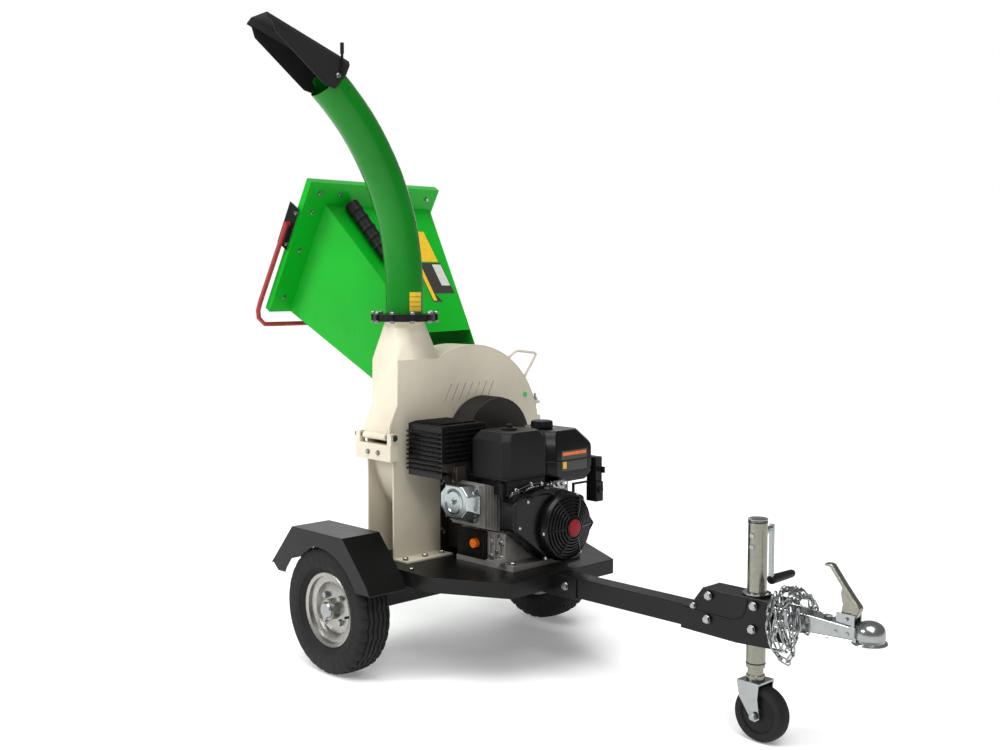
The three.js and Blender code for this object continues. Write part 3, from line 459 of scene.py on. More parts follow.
# ------------------------------------------------------------------ carried-over CAD nodes
def shading_group():
    """Welds a CAD mesh, drops its stored normals and smooths it where it turns gently."""
    group = bpy.data.node_groups.new("gentle_shading", "GeometryNodeTree")
    group.interface.new_socket("Geometry", in_out="INPUT", socket_type="NodeSocketGeometry")
    group.interface.new_socket("Geometry", in_out="OUTPUT", socket_type="NodeSocketGeometry")
    enter, leave = group.nodes.new("NodeGroupInput"), group.nodes.new("NodeGroupOutput")
    weld = group.nodes.new("GeometryNodeMergeByDistance")
    weld.inputs["Distance"].default_value = CAD_WELD
    drop = group.nodes.new("GeometryNodeRemoveAttribute")
    drop.inputs["Name"].default_value = "custom_normal"
    faces = group.nodes.new("GeometryNodeSetShadeSmooth")
    edges = group.nodes.new("GeometryNodeSetShadeSmooth")
    edges.domain = "EDGE"
    edges.inputs["Shade Smooth"].default_value = False
    angle = group.nodes.new("GeometryNodeInputMeshEdgeAngle")
    steep = group.nodes.new("FunctionNodeCompare")
    steep.operation = "GREATER_THAN"
    steep.inputs["B"].default_value = CAD_SHARP
    group.links.new(angle.outputs["Unsigned Angle"], steep.inputs["A"])
    group.links.new(steep.outputs["Result"], edges.inputs["Selection"])
    chain = [enter, weld, drop, faces, edges, leave]
    for one, two in zip(chain, chain[1:]):
        group.links.new(one.outputs[0], two.inputs[0])
    return group


# Each CAD node that stays: its finish, and the width that its edges are rounded to in millimetres.
CAD_FINISH = {
    "hopper": (GREEN, 1.2), "chute": (CHUTE_PAINTED_SHADE_GREEN, 0.8), "deflector": (CHARCOAL, 0.8),
    "deflector_lever": (PLASTIC, 1.0),
    "upper_housing": (BEIGE, 1.2), "lower_housing": (BEIGE, 1.2), "hinge_bracket": (BEIGE, 1.5),
    "housing_handle": (BEIGE, 0), "hinge_pin": (ZINC, 0.6), "clamp_bolt": (ZINC, 0.4),
    "collar_ring": (BLACK, 1.0),
    "inspection_plug": (PLUG_GREEN, 0.8), "flywheel": (STEEL, 0.8), "knife_1": (STEEL, 0),
    "knife_2": (STEEL, 0),
    "anvil": (STEEL, 0.4), "rotor_shaft": (STEEL, 0.8), "bearing_front": (STEEL, 1.0),
    "bearing_rear": (STEEL, 1.0),
    "rotor_pulley": (STEEL, 0.4), "engine_pulley": (STEEL, 0.4), "drive_belt": (RUBBER, 0.8),
    "crankshaft": (STEEL, 0.8),
    "belt_guard": (GUARD_BLACK, 2.0), "safety_bar": (RED, 0), "document_tube": (PLASTIC, 1.0),
    "engine_block": (ALLOY, 3.0), "valve_cover": (REFLECTION_TINTED_CHROME, 4.0), "blower_housing": (ENGINE_BLACK, 8.0),
    "carburettor": (ALLOY, 1.5), "oil_dipstick": (ORANGE, 1.0), "starter_motor": (BLACK, 2.0),
    "muffler_shield": (ENGINE_BLACK, 2.0), "muffler": (EXHAUST, 3.0), "air_cleaner": (PLASTIC, 7.0),
    "fuel_tank": (ENGINE_BLACK, 9.0), "fuel_cap": (PLASTIC, 3.0), "control_box": (PLASTIC, 2.0),
    "axle_frame": (BLACK, 2.0), "deck_tray": (BLACK, 1.5), "drawbar": (BLACK, 2.5),
    "drawbar_socket": (BLACK, 1.5),
    "fender_right": (BLACK, 1.2), "fender_left": (BLACK, 1.2), "hitch_bracket": (BLACK, 1.5),
    "coupler": (ZINC, 2.0),
    "coupler_latch": (ZINC, 1.5), "jack_outer_tube": (PASSIVATED, 1.0), "jack_inner_tube": (PASSIVATED, 1.0),
    "jack_crank": (ZINC, 1.0), "crank_grip": (PLASTIC, 1.5), "caster_fork": (ZINC, 1.0),
}


def dress_cad():
    shading = shading_group()
    for name, (material, width) in CAD_FINISH.items():
        thing = NODES[name]
        thing.data.materials.clear()
        thing.data.materials.append(material)
        soft = thing.modifiers.new("shading", "NODES")
        soft.node_group = shading
        finish_surface(thing, smooth=False, bevel=width * MM)


# ------------------------------------------------------------------ wheels
# Radii and distances across the tyre, in millimetres.
GROOVE = 6.0                            # depth of the grooves that run round the tyre
TREAD_FROM = 190                        # the radius where the tread begins
SHOULDER_FROM = 36                      # how far from the middle the shoulder blocks begin
SHOULDER_CUT, CENTRE_CUT = 5.0, 2.2     # depth of the cuts across the tread
ZIGZAG_TO, ZIGZAG = 40, 2.4             # how wide the wavy part of the tread is, and its wave
TYRE_STEPS = 132                        # rings round a tyre: whole numbers of cuts and of waves


def tyre(side, name):
    """A tyre as one closed skin: wall, crown and wall, then back along the inside."""
    crown = [(192, -50), (197, -44)]
    for middle, top in ((-34, 198.6), (-17, 200.2)):
        crown += [(top, middle - 3.2), (top - GROOVE, middle - 2), (top - GROOVE, middle + 2),
                  (top, middle + 3.2)]
    crown += [(200.8, -3.2), (200.8 - GROOVE, -2), (200.8 - GROOVE, 0)]
    wall = [(109, -35.5), (118, -37.2), (122, -43), (131, -51), (133, -54), (150, -59), (153, -58),
            (168, -58.6),
            (181, -56.5), (186, -54)]
    near = wall + crown
    profile = near + [(r, -d) for r, d in near[-2::-1]]
    inside = [(109, 20), (130, 34), (160, 44), (184, 30), (184, -30), (160, -44), (130, -34), (109, -20)]
    shape = Shape()
    rings = []
    for i in range(TYRE_STEPS):
        turn = 2 * pi * i / TYRE_STEPS
        ring = []
        for r, d in profile + inside:
            cut = (i + (2 if d > 0 else 0)) % 4 == 0
            tread = r > TREAD_FROM
            depth = 0.0
            if cut and tread:
                depth = SHOULDER_CUT if abs(d) > SHOULDER_FROM else CENTRE_CUT
            wavy = tread and abs(d) <= ZIGZAG_TO
            zigzag = ZIGZAG * (1 - abs(i % 6 - 3) / 1.5) if wavy else 0.0
            swell = 1.0 if 150 <= r <= 182 and (i // 2) % 2 else 0.0
            radius = r - depth
            y = side * WHEEL_Y + d - copysign(swell, d) + zigzag
            ring.append((radius * sin(turn), y, AXLE_Z + radius * cos(turn)))
        rings.append(ring)
    rings.append(rings[0])
    shape.grid(rings, capped=False)
    shape.piece(f"tyre_{name}_tread", TYRE, f"wheel_{name}", [f"tyre_{name}"])


def rim(side, name):
    profile = [(16.2, -40), (31, -40), (33, -16), (60, -14), (78, -10), (84, -22), (92, -25), (103, -27),
               (104, -37.5),
               (114, -41), (117, -39.5), (116.5, -37.6), (107.4, -37.2), (107.2, -28), (100, -16), (100, 16),
               (107.2, 28),
               (107.4, 37.2), (116.5, 37.6), (117, 39.5), (114, 41), (104, 37.5), (97, 18), (92, -14),
               (80, -4), (35, -8),
               (33, 34), (16.2, 34)]
    hub = Vector((0, side * WHEEL_Y, AXLE_Z))
    out = Vector((0, side, 0))
    shape = Shape().lathe([(r, -d) for r, d in profile], hub, out, 72)
    shape.piece(f"rim_{name}_disc", SILVER, f"wheel_{name}", [f"rim_{name}"])
    fittings = Shape()
    for i in range(4):
        turn = radians(45 + 90 * i)
        fittings.hexagon(hub + out * 13 + Vector((cos(turn), 0, sin(turn))) * 52, out, 18, 13)
    fittings.lathe([(0.5, 39), (25, 39), (25.5, 46), (22, 51), (12, 52), (0.5, 52)], hub, out, 36,
                   closed=False)
    fittings.piece(f"rim_{name}_fittings", ZINC, f"wheel_{name}")
    valve = Shape().rod(hub + out * 18 + Vector((92, 0, -8)), hub + out * 40 + Vector((86, 0, -8)), 4)
    valve.piece(f"rim_{name}_valve", RUBBER, f"wheel_{name}")


def jockey():
    tread = [(50, -20), (55, -23.4), (64, -24), (70.5, -21.5), (74, -15), (75, -6), (75.2, 0), (75, 6),
             (74, 15),
             (70.5, 21.5), (64, 24), (55, 23.4), (50, 20)]
    wheel = Shape().lathe(tread, JOCKEY_HUB, (0, 1, 0), 72)
    wheel.piece("jockey_tread", RUBBER, "jockey", ["jockey_wheel"])
    disc = [(6.4, -26.5), (17, -26.5), (19, -22), (46, -20), (49.7, -18.5), (49.7, 18.5), (46, 20), (19, 22),
            (17, 26.5), (6.4, 26.5)]
    middle = Shape().lathe(disc, JOCKEY_HUB, (0, 1, 0), 48)
    middle.piece("jockey_hub", PLASTIC, "jockey")
    ends = Shape()
    for side in (-1, 1):
        ends.hexagon((JOCKEY_HUB[0], side * 42.2, JOCKEY_HUB[2]), (0, side, 0), 17, 6)
    ends.piece("jockey_axle_nuts", ZINC, "caster")


# ------------------------------------------------------------------ hitch and chassis hardware
LINK_PITCH, LINK_WIRE = 23.0, 2.5       # spacing of the links, and their wire's radius
LINK_BEND, LINK_STRETCH = 6.4, 10.5     # radius of a link's ends, and half of its straight part


def chain_links(shape, path):
    """Links set along a path, each a quarter turn from the last."""
    points = [Vector(p) for p in path]
    spots, spare = [], 0.0
    for a, b in zip(points, points[1:]):
        long = (b - a).length
        while spare < long:
            spots.append((a.lerp(b, spare / long), (b - a).normalized()))
            spare += LINK_PITCH
        spare -= long
    side = Vector((1, 0.2, 0.1))
    for i, (middle, along) in enumerate(spots):
        side = (side - along * side.dot(along)).normalized()
        across = side if i % 2 else along.cross(side)
        out = along.cross(across)
        rings = []
        for k in range(16):
            turn = 2 * pi * k / 16
            rise = sin(turn)
            stretch = LINK_STRETCH * copysign(1, rise) if abs(rise) > 0.3 else 0
            radial = across * cos(turn) + along * sin(turn)
            core = middle + along * stretch + radial * LINK_BEND
            rings.append([core + (radial * cos(a) + out * sin(a)) * LINK_WIRE
                          for a in (pi * j / 3 for j in range(6))])
        rings.append(rings[0])
        shape.grid(rings, capped=False)


def chains():
    strands = [
        [(1294, -44, 392), (1292, -58, 350), (1300, -62, 300), (1322, -60, 262), (1348, -56, 246),
         (1366, -54, 276),
         (1362, -60, 330), (1352, -56, 376), (1340, -34, 414), (1330, 0, 424), (1322, 34, 412),
         (1312, 54, 372),
         (1318, 60, 320), (1338, 56, 296), (1352, 58, 340), (1350, 48, 388), (1338, 14, 420),
         (1320, -22, 424)],
        [(1308, -48, 404), (1320, -62, 352), (1316, -66, 306), (1334, -64, 270), (1350, -60, 300),
         (1338, -66, 344),
         (1330, -58, 390), (1312, -30, 418), (1302, 6, 420), (1304, 40, 404), (1306, 58, 350),
         (1326, 62, 306)],
        [(1372, -46, 372), (1376, -50, 330), (1362, -64, 288), (1342, -68, 318), (1326, -66, 372),
         (1346, -46, 408),
         (1364, -12, 412), (1366, 24, 404), (1368, 50, 366), (1362, 58, 322)],
    ]
    shape = Shape()
    for strand in strands:
        chain_links(shape, rounded(strand, 11, 3))
    shape.piece("safety_chain_links", ZINC, replaces=["safety_chains"])


def hitch_hardware():
    shape = Shape()
    for side in (-1, 1):
        for x, z in ((1094, 368), (1236, 367), (1090, 303), (1232, 305)):
            shape.hexagon((x, side * 41, z), (0, side, 0), 19, 7)
        shape.hexagon((1042, side * 36.5, 331), (0, side, 0), 14, 7)
        for x in (1465, 1496):
            shape.lathe([(5.5, 0), (4.5, 2.5), (1, 3.5)], (x, side * 21.5, 346), (0, side, 0), 16,
                        closed=False)
    shape.hexagon((1430, 0, 366), (0, 0, 1), 19, 9)
    shape.hexagon((1430, 0, 329), (0, 0, -1), 19, 9)
    for z in (548, 518):
        shape.lathe([(7, 24), (6.5, 27.5), (1, 28.2)], (JACK_X, 0, z), (0, -1, 0), 20, closed=False)
    shape.piece("hitch_bolts", ZINC)
    collar = Shape().lathe([(26, 392.3), (37, 392.3), (37, 394.5), (30, 396), (26.2, 396)], (JACK_X, 0, 0),
                           (0, 0, 1), 40)
    collar.piece("jack_collar_ring", ZINC)
    cap = Shape().lathe([(0.5, 586), (24.5, 586), (26.6, 587), (26.6, 589.5), (24, 591), (0.5, 591.6)],
                        (JACK_X, 0, 0), (0, 0, 1), 40, closed=False)
    cap.piece("jack_top_cap", ZINC)
    line = Shape()
    for z in (580, 205):
        line.lathe([(25.7, z), (26.1, z), (26.1, z + 3), (25.7, z + 3)], (JACK_X, 0, 0), (0, 0, 1), 40)
    line.piece("jack_tube_lines", RUBBER)
    elbow = Shape().lathe([(0.6, 60), (9, 61), (12.5, 65), (13, 70.5), (5.2, 70.8)], (JACK_X, 0, 416),
                          (0, 1, 0), 28,
                          closed=False)
    elbow.piece("crank_elbow", PLASTIC, "crank")


def coupler_details():
    """The domed ball cup over the coupler's nose, its rolled lip and the folded edges along its sides."""
    dome = Shape().lathe([(37.5, 340), (37.8, 352), (36.5, 362), (33, 369.5), (27, 375.5), (19, 380),
                          (9, 382.6),
                          (0.5, 383.2)], (1545, 0, 0), (0, 0, 1), 56, closed=False)
    dome.lathe([(36.2, 326.5), (43, 326.5), (44, 328.5), (43, 330.8), (36.2, 331)], (1544, 0, 0), (0, 0, 1),
               56)
    dome.piece("coupler_dome", ZINC)
    edges = Shape()
    for side in (-1, 1):
        edges.tube([(1252, side * 29.2, 373.2), (1345, side * 29.2, 373.2), (1400, side * 24.4, 369.4),
                    (1500, side * 22.6, 363)], 2.2, 8)
        edges.tube([(1252, side * 29.6, 323), (1345, side * 29.6, 323), (1400, side * 25, 327),
                    (1512, side * 22.8, 331)], 2.4, 8)
    edges.piece("coupler_folds", ZINC)


def latch():
    """A pressed channel handle that hooks over the coupler's nose."""
    spine = [Vector((x, 0, z)) for x, _, z in rounded([(1497, 0, 368), (1512, 0, 390), (1521, 0, 409),
                                                       (1504, 0, 428),
                                                      (1478, 0, 459), (1441, 0, 507), (1424, 0, 506)], 7, 4)]
    rings = []
    for i, p in enumerate(spine):
        along = (spine[min(i + 1, len(spine) - 1)] - spine[max(i - 1, 0)]).normalized()
        out = Vector((along.z, 0, -along.x))
        deep = 12.0 - 7.0 * i / (len(spine) - 1)
        section = [(-11, 0), (-9, 1.6), (9, 1.6), (11, 0), (11, -deep), (8.6, -deep), (8.6, -2), (-8.6, -2),
                   (-8.6, -deep), (-11, -deep)]
        rings.append([p + Vector((0, y, 0)) + out * d for y, d in section])
    shape = Shape().grid(rings)
    web = [(1480, 372), (1500, 369), (1512, 386), (1520, 408), (1497, 421), (1484, 436), (1474, 462),
           (1468, 440),
           (1474, 412), (1470, 390)]
    shape.grid([[(x, y, z) for x, z in web] for y in (-8.4, 8.4)])
    shape.rod((1490, -13, 380), (1490, 13, 380), 6.5, 16)
    shape.piece("latch_handle", PASSIVATED, "latch", ["coupler_latch"], bevel=0.0004)


def pressed_line():
    """The edge of the upper cover, pressed along each side of the hitch channel."""
    shape = Shape()
    for side in (-1, 1):
        path = rounded([(1004, side * 36.6, 321), (1178, side * 36.6, 316), (1206, side * 36.6, 336),
                        (1214, side * 36.6, 380)], 20, 8)
        shape.tube(path, 2.1, 10)
        shape.tube([(1073, side * 35.6, 385), (1287, side * 35.6, 385)], 2.4, 8)
    shape.piece("hitch_pressed_line", BLACK)


def deck_hardware():
    shape = Shape()
    for x in (-150, 20, 200):
        for side in (-1, 1):
            shape.hexagon((x, side * 325, 331), (0, 0, 1), 13, 6)
    for x, y in ((105, -190), (105, -270), (105, -120), (-95, -190), (-95, 220), (215, -110), (420, -110),
                 (215, 150), (420, 150)):
        high = 347.3 if x > 200 else 336.3
        shape.hexagon((x, y, high), (0, 0, 1), 16, 8)
    for y in (-91, 205):
        for z in (555, 408):
            shape.hexagon((75.5, y, z), (1, 0, 0), 10, 5)
    for side in (-1, 1):
        for x in (-35, 35):
            shape.hexagon((x, side * 362, 304), (0, 0, 1), 13, 6)
    for x in (470, 570):
        for side in (-1, 1):
            shape.hexagon((x, side * 35.3, 296.7), (0, side, 0), 19, 9)
    shape.piece("chassis_bolts", ZINC)


# ------------------------------------------------------------------ housing and chute
ARC_STEPS = 40


def arc(radius, centre, start, end, x):
    """Points on an arc about centre, given as y and z, between two angles in degrees."""
    y, z = centre
    turns = [radians(start + (end - start) * i / ARC_STEPS) for i in range(ARC_STEPS + 1)]
    return [(x, y + radius * cos(t), z + radius * sin(t)) for t in turns]


def housing_details():
    weld = Shape().tube(arc(316.4, ROTOR_YZ, 116, 17, 66.4), 1.8, 8)
    weld.tube([(66.4, -296, 716), (66.4, -296, 756), (66.4, -265, 822), (66.4, -263, 958)], 1.6, 8)
    weld.piece("hood_weld", BEIGE, "hood")
    bolts = Shape()
    for i in range(10):
        turn = radians(36 * i + 10)
        x, y = 101 * cos(turn), CHUTE_Y + 101 * sin(turn)
        bolts.hexagon((x, y, 1103), (0, 0, 1), 14, 7)
        bolts.hexagon((x, y, 1083), (0, 0, -1), 14, 7)
    bolts.piece("collar_bolts", ZINC, "hood")
    low = Shape()
    for x in (-20, 30):
        low.hexagon((x, -316, 672), (0, -1, 0), 13, 6)
    low.piece("hinge_bolts", ZINC)


def chute_label():
    shape = Shape()
    rings = []
    for z in (1112, 1132, 1152, 1172):
        ring = []
        for r in (60.15, 60.55):
            turns = range(-24, 24, 4) if r < 60.3 else range(20, -28, -4)
            for degrees in turns:
                t = radians(degrees)
                ring.append((r * cos(t), CHUTE_Y + r * sin(t), z))
        rings.append(ring)
    shape.grid(rings)
    shape.piece("chute_label", YELLOW, "chute_body")
    turns = [radians(a) for a in range(-22, 22, 4)]
    rule = Shape()
    for z in (1142, 1128, 1158):
        rule.tube([(60.7 * cos(t), CHUTE_Y + 60.7 * sin(t), z) for t in turns], 0.7, 6)
    rule.piece("chute_label_rules", LABEL_DARK, "chute_body")
    bearing = radians(-96.5)
    out, across = (cos(bearing), sin(bearing)), (-sin(bearing), cos(bearing))
    bolts = Shape()
    for side in (-1, 1):
        spot = [275 * out[k] + side * 69.2 * across[k] for k in (0, 1)]
        bolts.hexagon((spot[0], CHUTE_Y + spot[1], 1815), (side * across[0], side * across[1], 0), 13, 6)
    bolts.piece("deflector_bolts", ZINC, "chute_body")


def hopper_details():
    bolts = Shape()
    inward = mouth(-1, 0, 0) - mouth(0, 0, 0)
    for y, up in ((-205, 474), (-120, 474), (20, 474), (160, 474), (270, 474), (-212, 60), (-212, 250),
                  (-212, 400)):
        bolts.hexagon(mouth(-3, y, up), inward, 13, 6)
    for y in (-262, 322):
        for out, up in ((14, 265), (14, 385)):
            side = Vector((0, 1 if y > 0 else -1, 0))
            bolts.hexagon(mouth(out, y, up), side, 12, 5)
    for y in (20, 100, 180):
        bolts.hexagon((-70.3, y, 958), (-1, 0, 0), 12, 5)
    bolts.piece("hopper_bolts", ZINC)
    plates = Shape()
    for low, high in ((-263.4, -262.2), (322.2, 323.4)):
        corners = ((2, 246), (64, 246), (64, 404), (2, 404))
        plates.grid([[mouth(out, y, up) for out, up in corners] for y in (low, high)])
    plates.piece("bar_bracket_plates", BLACK, bevel=0.0003)
    flaps = Shape()
    count, start, wide = 6, -115, 61.6
    for i in range(count):
        y0 = start + wide * i
        rings = []
        for k in range(13):
            z = 1478 - 24.8 * k
            sway = 1.3 * sin(k * 0.35 + i * 1.7)
            ring = []
            for thick in (-445.2, -442.2):
                ys = [y0 + 0.6, y0 + wide * 0.5, y0 + wide - 0.6]
                ring += [(thick + sway, y, z) for y in (ys if thick < -444 else ys[::-1])]
            rings.append(ring)
        flaps.grid(rings)
    flaps.piece("curtain_flaps", RUBBER, replaces=["infeed_curtain"])
    bar = Shape().grid([[mouth(o, y, u) for o, u in ((0.4, 436), (4.5, 436), (4.5, 466),
                                                     (0.4, 466))] for y in (-115, 255)])
    for i in range(5):
        bar.hexagon(mouth(4.5, -90 + 80 * i, 451), mouth(1, 0, 0) - mouth(0, 0, 0), 11, 5)
    bar.piece("curtain_bar", ZINC)


def hopper_labels():
    """Blank warning panels on the far half of the hopper's upper wall."""
    def wall(t, y, lift):
        return (-438.8 + 288.8 * t + 0.8127 * lift, y, 1472.8 - 402.8 * t + 0.5827 * lift)

    for name, finish, t0, t1, y0, y1, lift in (
        ("hopper_label_top", YELLOW, 0.22, 0.49, 120, 221, 0.9),
        ("hopper_label_middle", LABEL_DARK, 0.5, 0.84, 112, 230, 0.9),
        ("hopper_label_white", WHITE, 0.515, 0.7, 186, 226, 1.4),
        ("hopper_label_strip", YELLOW, 0.52, 0.83, 116, 132, 1.4),
    ):
        corners = ((t0, y0), (t1, y0), (t1, y1), (t0, y1))
        panel = Shape().grid([[wall(t, y, high) for t, y in corners] for high in (0.2, lift)])
        panel.piece(name, finish, bevel=0.0001)


def document_tube_bands():
    middle, along = Vector((-340.9, -50.3, 1380.5)), Vector((0.5643, 0.2499, -0.7868))
    bands = Shape()
    for spot in (-84, -50, -8, 30, 66, 98):
        bands.lathe([(22.4, -7), (25.4, -5.5), (26.2, -2), (26.2, 2), (25.4, 5.5), (22.4, 7)],
                    middle + along * spot, along, 36)
    bands.piece("document_tube_bands", PLASTIC)


# ------------------------------------------------------------------ drive and engine
def guard_details():
    ribs = Shape()
    for x in (84, 97, 110, 123, 136, 149):
        ribs.tube(arc(139.6, GUARD_YZ, 12, 168, x), 3.0, 10)
    ribs.piece("guard_ribs", GUARD_BLACK)
    turns = [radians(a) for a in range(150, 172, 3)]
    section = ((143, 80), (143.6, 80), (143.6, 150), (143, 150))
    y, z = GUARD_YZ
    label = [[(x, y + r * cos(t), z + r * sin(t)) for r, x in section] for t in turns]
    Shape().grid(label).piece("guard_label", YELLOW)
    shape = Shape()
    for z in (565, 396):
        shape.hexagon((75.6, -84, z), (1, 0, 0), 12, 6)
    shape.piece("guard_bolts", ZINC)


def recoil():
    """The starter's dome: rings of grooves, six bridges across them, and a plain red hub."""
    profile = [(0.6, 0.4), (108, 0.4), (108.6, 6), (107, 14), (103, 22)]
    height = 27.0
    for r in (99, 89, 79, 69, 59, 49, 39):
        profile += [(r, height), (r - 4.2, height + 1.2), (r - 4.8, height - 4.5),
                    (r - 8.8, height - 3.5), (r - 9.4, height + 2.2)]
        height += 3.4
    profile += [(28, 50), (0.6, 50)]
    dome = Shape().lathe(profile, RECOIL_FACE, (1, 0, 0), 96, closed=False)
    dome.piece("recoil_dome", ENGINE_BLACK, replaces=["recoil_cover"])
    bridges = Shape()
    for i in range(6):
        _, ray = around((0, 0, 0), (1, 0, 0), 1, radians(60 * i + 15))
        start, end = Vector((495, 60, 452)) + ray * 97, Vector((514, 60, 452)) + ray * 34
        bridges.tube([start, start.lerp(end, 0.5) + Vector((1.5, 0, 0)), end], 3.4, 8)
    bridges.piece("recoil_bridges", ENGINE_BLACK)
    hub = Shape().lathe([(0.6, 49.6), (27, 49.6), (26.2, 53.4), (21, 54.6), (0.6, 54.9)],
                        RECOIL_FACE, (1, 0, 0), 8, closed=False)
    hub.piece("recoil_hub", RED_PLASTIC, bevel=0.001)
    screws = Shape()
    for degrees in (20, 140, 260):
        spot, _ = around((484, 60, 452), (1, 0, 0), 105, radians(degrees))
        screws.hexagon(spot, (1, 0, 0), 9, 5)
    screws.piece("recoil_screws", ZINC)
    grip = Shape().tube(rounded([(478, -88, 560), (478, -60, 572), (478, -20, 572), (478, 8, 560)], 10), 7,
                        12)
    grip.piece("pull_handle", PLASTIC)


SPRING_WIRE = 1.1                       # radius of the wire
SPRING_SIDES = 8                        # points in each turn


def spring(shape, start, end, radius, turns):
    """A tension spring between two points."""
    start, end = Vector(start), Vector(end)
    path = []
    steps = turns * SPRING_SIDES
    for i in range(steps + 1):
        turn = 2 * pi * i / SPRING_SIDES
        spot, _ = around(start.lerp(end, i / steps), end - start, radius, turn)
        path.append(spot)
    shape.tube(path, SPRING_WIRE, 6)


def linkage():
    """Governor arm, throttle rods and springs, then the ribs, bosses and bolts of the crankcase."""
    rods = Shape()
    rods.tube(rounded([(424, -96, 552), (430, -96, 578), (430, -40, 590), (430, 2, 588), (421, 12, 586)], 4),
              2.0, 8)
    rods.tube(rounded([(420, -128, 548), (428, -120, 572), (428, -78, 572), (428, -62, 562), (419, -54, 558)],
                      4), 2.0, 8)
    rods.tube(rounded([(436, 36, 561), (440, 36, 582), (440, 78, 589), (440, 112, 582), (436, 112, 559)], 6),
              2.4, 8)
    rods.box(430, 434, 40, 104, 560, 588)
    for x, y0, z0, y1, z1 in ((431, -66, 572, -14, 580), (428, -126, 563, -92, 568), (438, 20, 578, 62, 582)):
        spring(rods, (x, y0, z0), (x, y1, z1), 3.8, 8)
        for y, z in ((y0, z0), (y1, z1)):
            rods.rod((420, y, z), (x + 3, y, z), 1.8, 8)
    for x, y, z in ((424, -104, 578), (424, -38, 588), (424, 8, 584), (434, 50, 575), (434, 72, 575),
                    (434, 94, 575)):
        rods.hexagon((x, y, z), (1, 0, 0), 11, 6)
    rods.piece("throttle_linkage", ZINC)
    ribs = Shape()
    for x in (330, 352, 374, 396):
        ribs.box(x, x + 5, -124, -117.5, 352, 428)
    for x, z in ((341, 366), (385, 366), (341, 412), (385, 412)):
        ribs.lathe([(9, 0), (9, 7), (7, 8.5), (0.5, 8.8)], (x + 2, -117.8, z), (0, -1, 0), 20, closed=False)
    ribs.box(322, 410, -128, -117.5, 346, 353)
    ribs.piece("crankcase_ribs", ALLOY, bevel=0.0012)
    drain = Shape()
    for x, z in ((341, 366), (385, 366), (385, 412)):
        drain.hexagon((x + 2, -126.4, z), (0, -1, 0), 11, 6)
    drain.piece("crankcase_bolts", REFLECTION_TINTED_CHROME)


def engine_details():
    fins = Shape()
    for i in range(8):
        y = -82 - 12.5 * i
        drop = -(y + 70) * 34 / 116
        fins.box(214, 360, y - 1.6, y + 1.6, 430 + drop, 566 + drop)
    fins.piece("cylinder_fins", ALLOY, bevel=0.0006)
    bolts = Shape()
    for x, z in ((224, 486), (352, 486), (224, 578), (352, 578)):
        bolts.hexagon((x, -197, z), (0, -1, 0), 11, 6)
    for x, z in ((230, 380), (300, 372), (360, 380), (230, 430), (370, 430)):
        bolts.hexagon((x, -118, z), (0, -1, 0), 10, 5)
    for y, z in ((-130, 470), (-95, 545), (60, 556), (150, 520), (168, 440), (130, 380), (-20, 362)):
        bolts.hexagon((468, y, z), (1, 0, 0), 8, 4)
    bolts.piece("engine_bolts", ZINC)
    face = Shape().lathe([(40, -0.5), (40, 1.5), (34, 2.5), (30, -0.2), (10, -0.2), (9, 3), (0.5, 3.4)],
                         (288, -232, 541), (0, -1, 0), 48, closed=False)
    face.hexagon((288, -234.5, 541), (0, -1, 0), 12, 6)
    face.piece("valve_cover_dish", REFLECTION_TINTED_CHROME)
    # A black plate over the near face of the crankcase, which makes that face dark.
    dark_plate = Shape().box(188, 318, -126, -118.4, 348, 438)
    dark_plate.box(196, 310, -128.4, -125.5, 358, 428)
    dark_plate.piece("crankcase_dark_plate", BLACK, bevel=0.0025)
    panel = Shape().box(396, 412, -146, 30, 556, 600)
    panel.rod((412, -104, 578), (422, -104, 578), 7, 16)
    panel.rod((412, -70, 578), (420, -70, 578), 5, 16)
    panel.box(412, 420, -44, -26, 566, 592)
    panel.piece("throttle_panel", PLASTIC, bevel=0.0015)
    linkage()
    plug = Shape().rod((246, -190, 560), (238, -205, 590), 9, 6)
    plug.rod((238, -205, 588), (230, -214, 612), 11, 16)
    plug.piece("spark_plug_boot", RUBBER)


def top_of_engine():
    seam = Shape()
    outline = [(224, 47), (403, 47), (429, 73), (429, 236), (403, 262), (224, 262), (198, 236), (198, 73)]
    rings = []
    for grow, z in ((0.5, 642), (4, 642.5), (4, 646), (0.5, 646.5)):
        rings.append([(x + copysign(grow, x - 313), y + copysign(grow, y - 154), z) for x, y in outline])
    seam.grid(rings)
    seam.piece("tank_seam", ENGINE_BLACK, bevel=0.0006)
    cap = Shape()
    for i in range(24):
        t = radians(15 * i)
        low, high = ((312 + r * cos(t), 128 + r * sin(t), z) for r, z in ((34, 742), (33, 759)))
        cap.rod(low, high, 2.0, 6)
    cap.piece("fuel_cap_ribs", PLASTIC, "cap")
    patch = Shape().box(429.2, 429.7, 96, 214, 612, 676)
    patch.piece("tank_label", LABEL_DARK, bevel=0.0001)
    stripe = Shape().box(429.7, 430.1, 100, 210, 661, 671)
    stripe.piece("tank_label_stripe", LABEL_ORANGE, bevel=0.0001)
    square = Shape().box(429.7, 430.1, 102, 118, 620, 642)
    square.piece("tank_label_square", YELLOW, bevel=0.0001)
    lid = Shape().lathe([(24, 749), (25, 755), (20, 757), (0.6, 758)], (346, -52, 0), (0, 0, 1), 32,
                        closed=False)
    lid.rod((346, -52, 756), (346, -52, 768), 11, 8)
    lid.box(284, 424, -132, 26, 560, 606)
    lid.tube(rounded([(262, -128, 612), (262, -148, 612), (410, -148, 612), (430, -148, 612),
                      (430, -128, 612),
                      (430, 24, 612)], 9), 3.2, 8)
    lid.piece("air_cleaner_base", PLASTIC, bevel=0.004)
    box = Shape().box(388, 432, 258, 292, 496, 560)
    box.lathe([(11, 0), (11, 6), (8, 8), (0.5, 8.4)], (432, 275, 534), (1, 0, 0), 24, closed=False)
    box.piece("control_box_base", PLASTIC, bevel=0.0015)


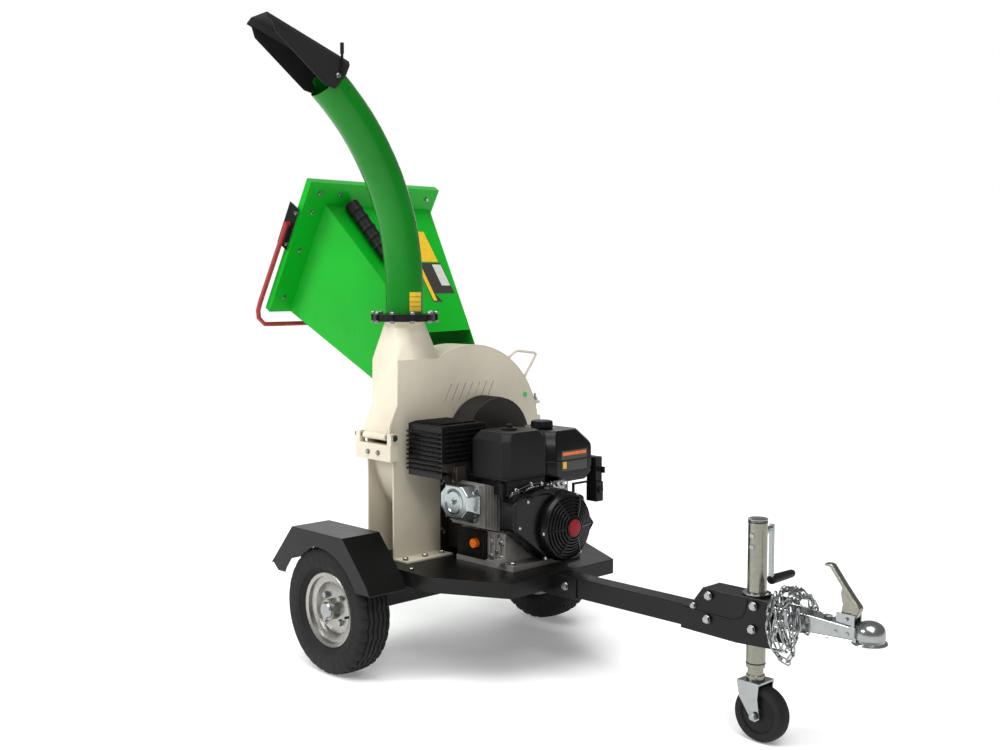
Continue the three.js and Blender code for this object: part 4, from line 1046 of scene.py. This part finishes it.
def muffler_grille():
    """Louvres that wrap the shield's near corner, and a slotted end plate."""
    shape = Shape()
    for i in range(9):
        z = 626 + 14.5 * i
        shape.tube([(96.5, -214, z), (96, -246, z), (99, -255.5, z), (106, -257, z), (236, -257, z),
                    (250, -254, z)], 3.6, 8)
    for i in range(8):
        x = 108 + 17 * i
        shape.tube([(x, -247, 767), (x, -226, 770.6), (x, -98, 770.6), (x, -82, 767.6)], 2.8, 8)
    shape.box(256.2, 258.6, -250, -74, 652, 766)
    for i in range(7):
        z = 664 + 14.5 * i
        shape.tube([(259, -240, z), (262, -232, z), (262, -92, z), (259, -84, z)], 3.4, 8)
    shape.piece("muffler_louvres", ENGINE_BLACK)


# ------------------------------------------------------------------ floor and light
LIT_POINT = Vector((0, 0, 0.8))         # metres, in the frame


def aim(data, name, place):
    """Puts a light at a place in metres, turned to the middle of the machine."""
    lamp = bpy.data.objects.new(name, data)
    lamp.location = place
    lamp.rotation_euler = (LIT_POINT - Vector(place)).to_track_quat("-Z", "Y").to_euler()
    bpy.context.scene.collection.objects.link(lamp)


def studio():
    ground = bpy.data.meshes.new("floor")
    mesh = bmesh.new()
    bmesh.ops.create_grid(mesh, x_segments=8, y_segments=8, size=30)
    mesh.to_mesh(ground)
    mesh.free()
    floor = bpy.data.objects.new("floor", ground)
    floor.location.z = -0.0005          # just under the tyres, so that no faces coincide
    ground.materials.append(floor_finish())
    bpy.context.scene.collection.objects.link(floor)
    for name, place, size, watts in (   # metres and watts
        ("key", (-2.2, -5.0, 3.4), 2.2, 180),
        ("fill", (4.6, -3.2, 5.0), 1.6, 100),
        ("back", (-4.6, 3.4, 3.2), 3.6, 40),
    ):
        data = bpy.data.lights.new(name, "AREA")
        data.shape = "DISK"
        data.size = size
        data.energy = watts
        aim(data, name, place)
    sun = bpy.data.lights.new("overhead", "SUN")
    sun.energy = 2.5
    sun.angle = radians(45)
    aim(sun, "overhead", (0.9, -1.4, 6.0))
    world = bpy.data.worlds.new("studio")
    world.use_nodes = True
    nodes, links = world.node_tree.nodes, world.node_tree.links
    sky = nodes["Background"]
    sky.inputs["Color"].default_value = (1.0, 1.0, 1.0, 1.0)
    level = nodes.new("ShaderNodeMapRange")
    level.inputs["To Min"].default_value = 0.3
    level.inputs["To Max"].default_value = 1.0
    links.new(nodes.new("ShaderNodeLightPath").outputs["Is Camera Ray"], level.inputs["Value"])
    links.new(level.outputs["Result"], sky.inputs["Strength"])
    bpy.context.scene.world = world
    bpy.context.scene.view_settings.view_transform = "Standard"


# ------------------------------------------------------------------ assembly
dress_cad()
for wheel_side, wheel_name in ((-1, "right"), (1, "left")):
    tyre(wheel_side, wheel_name)
    rim(wheel_side, wheel_name)
jockey()
chains()
hitch_hardware()
coupler_details()
latch()
pressed_line()
deck_hardware()
housing_details()
chute_label()
hopper_details()
hopper_labels()
document_tube_bands()
guard_details()
recoil()
engine_details()
top_of_engine()
muffler_grille()
studio()
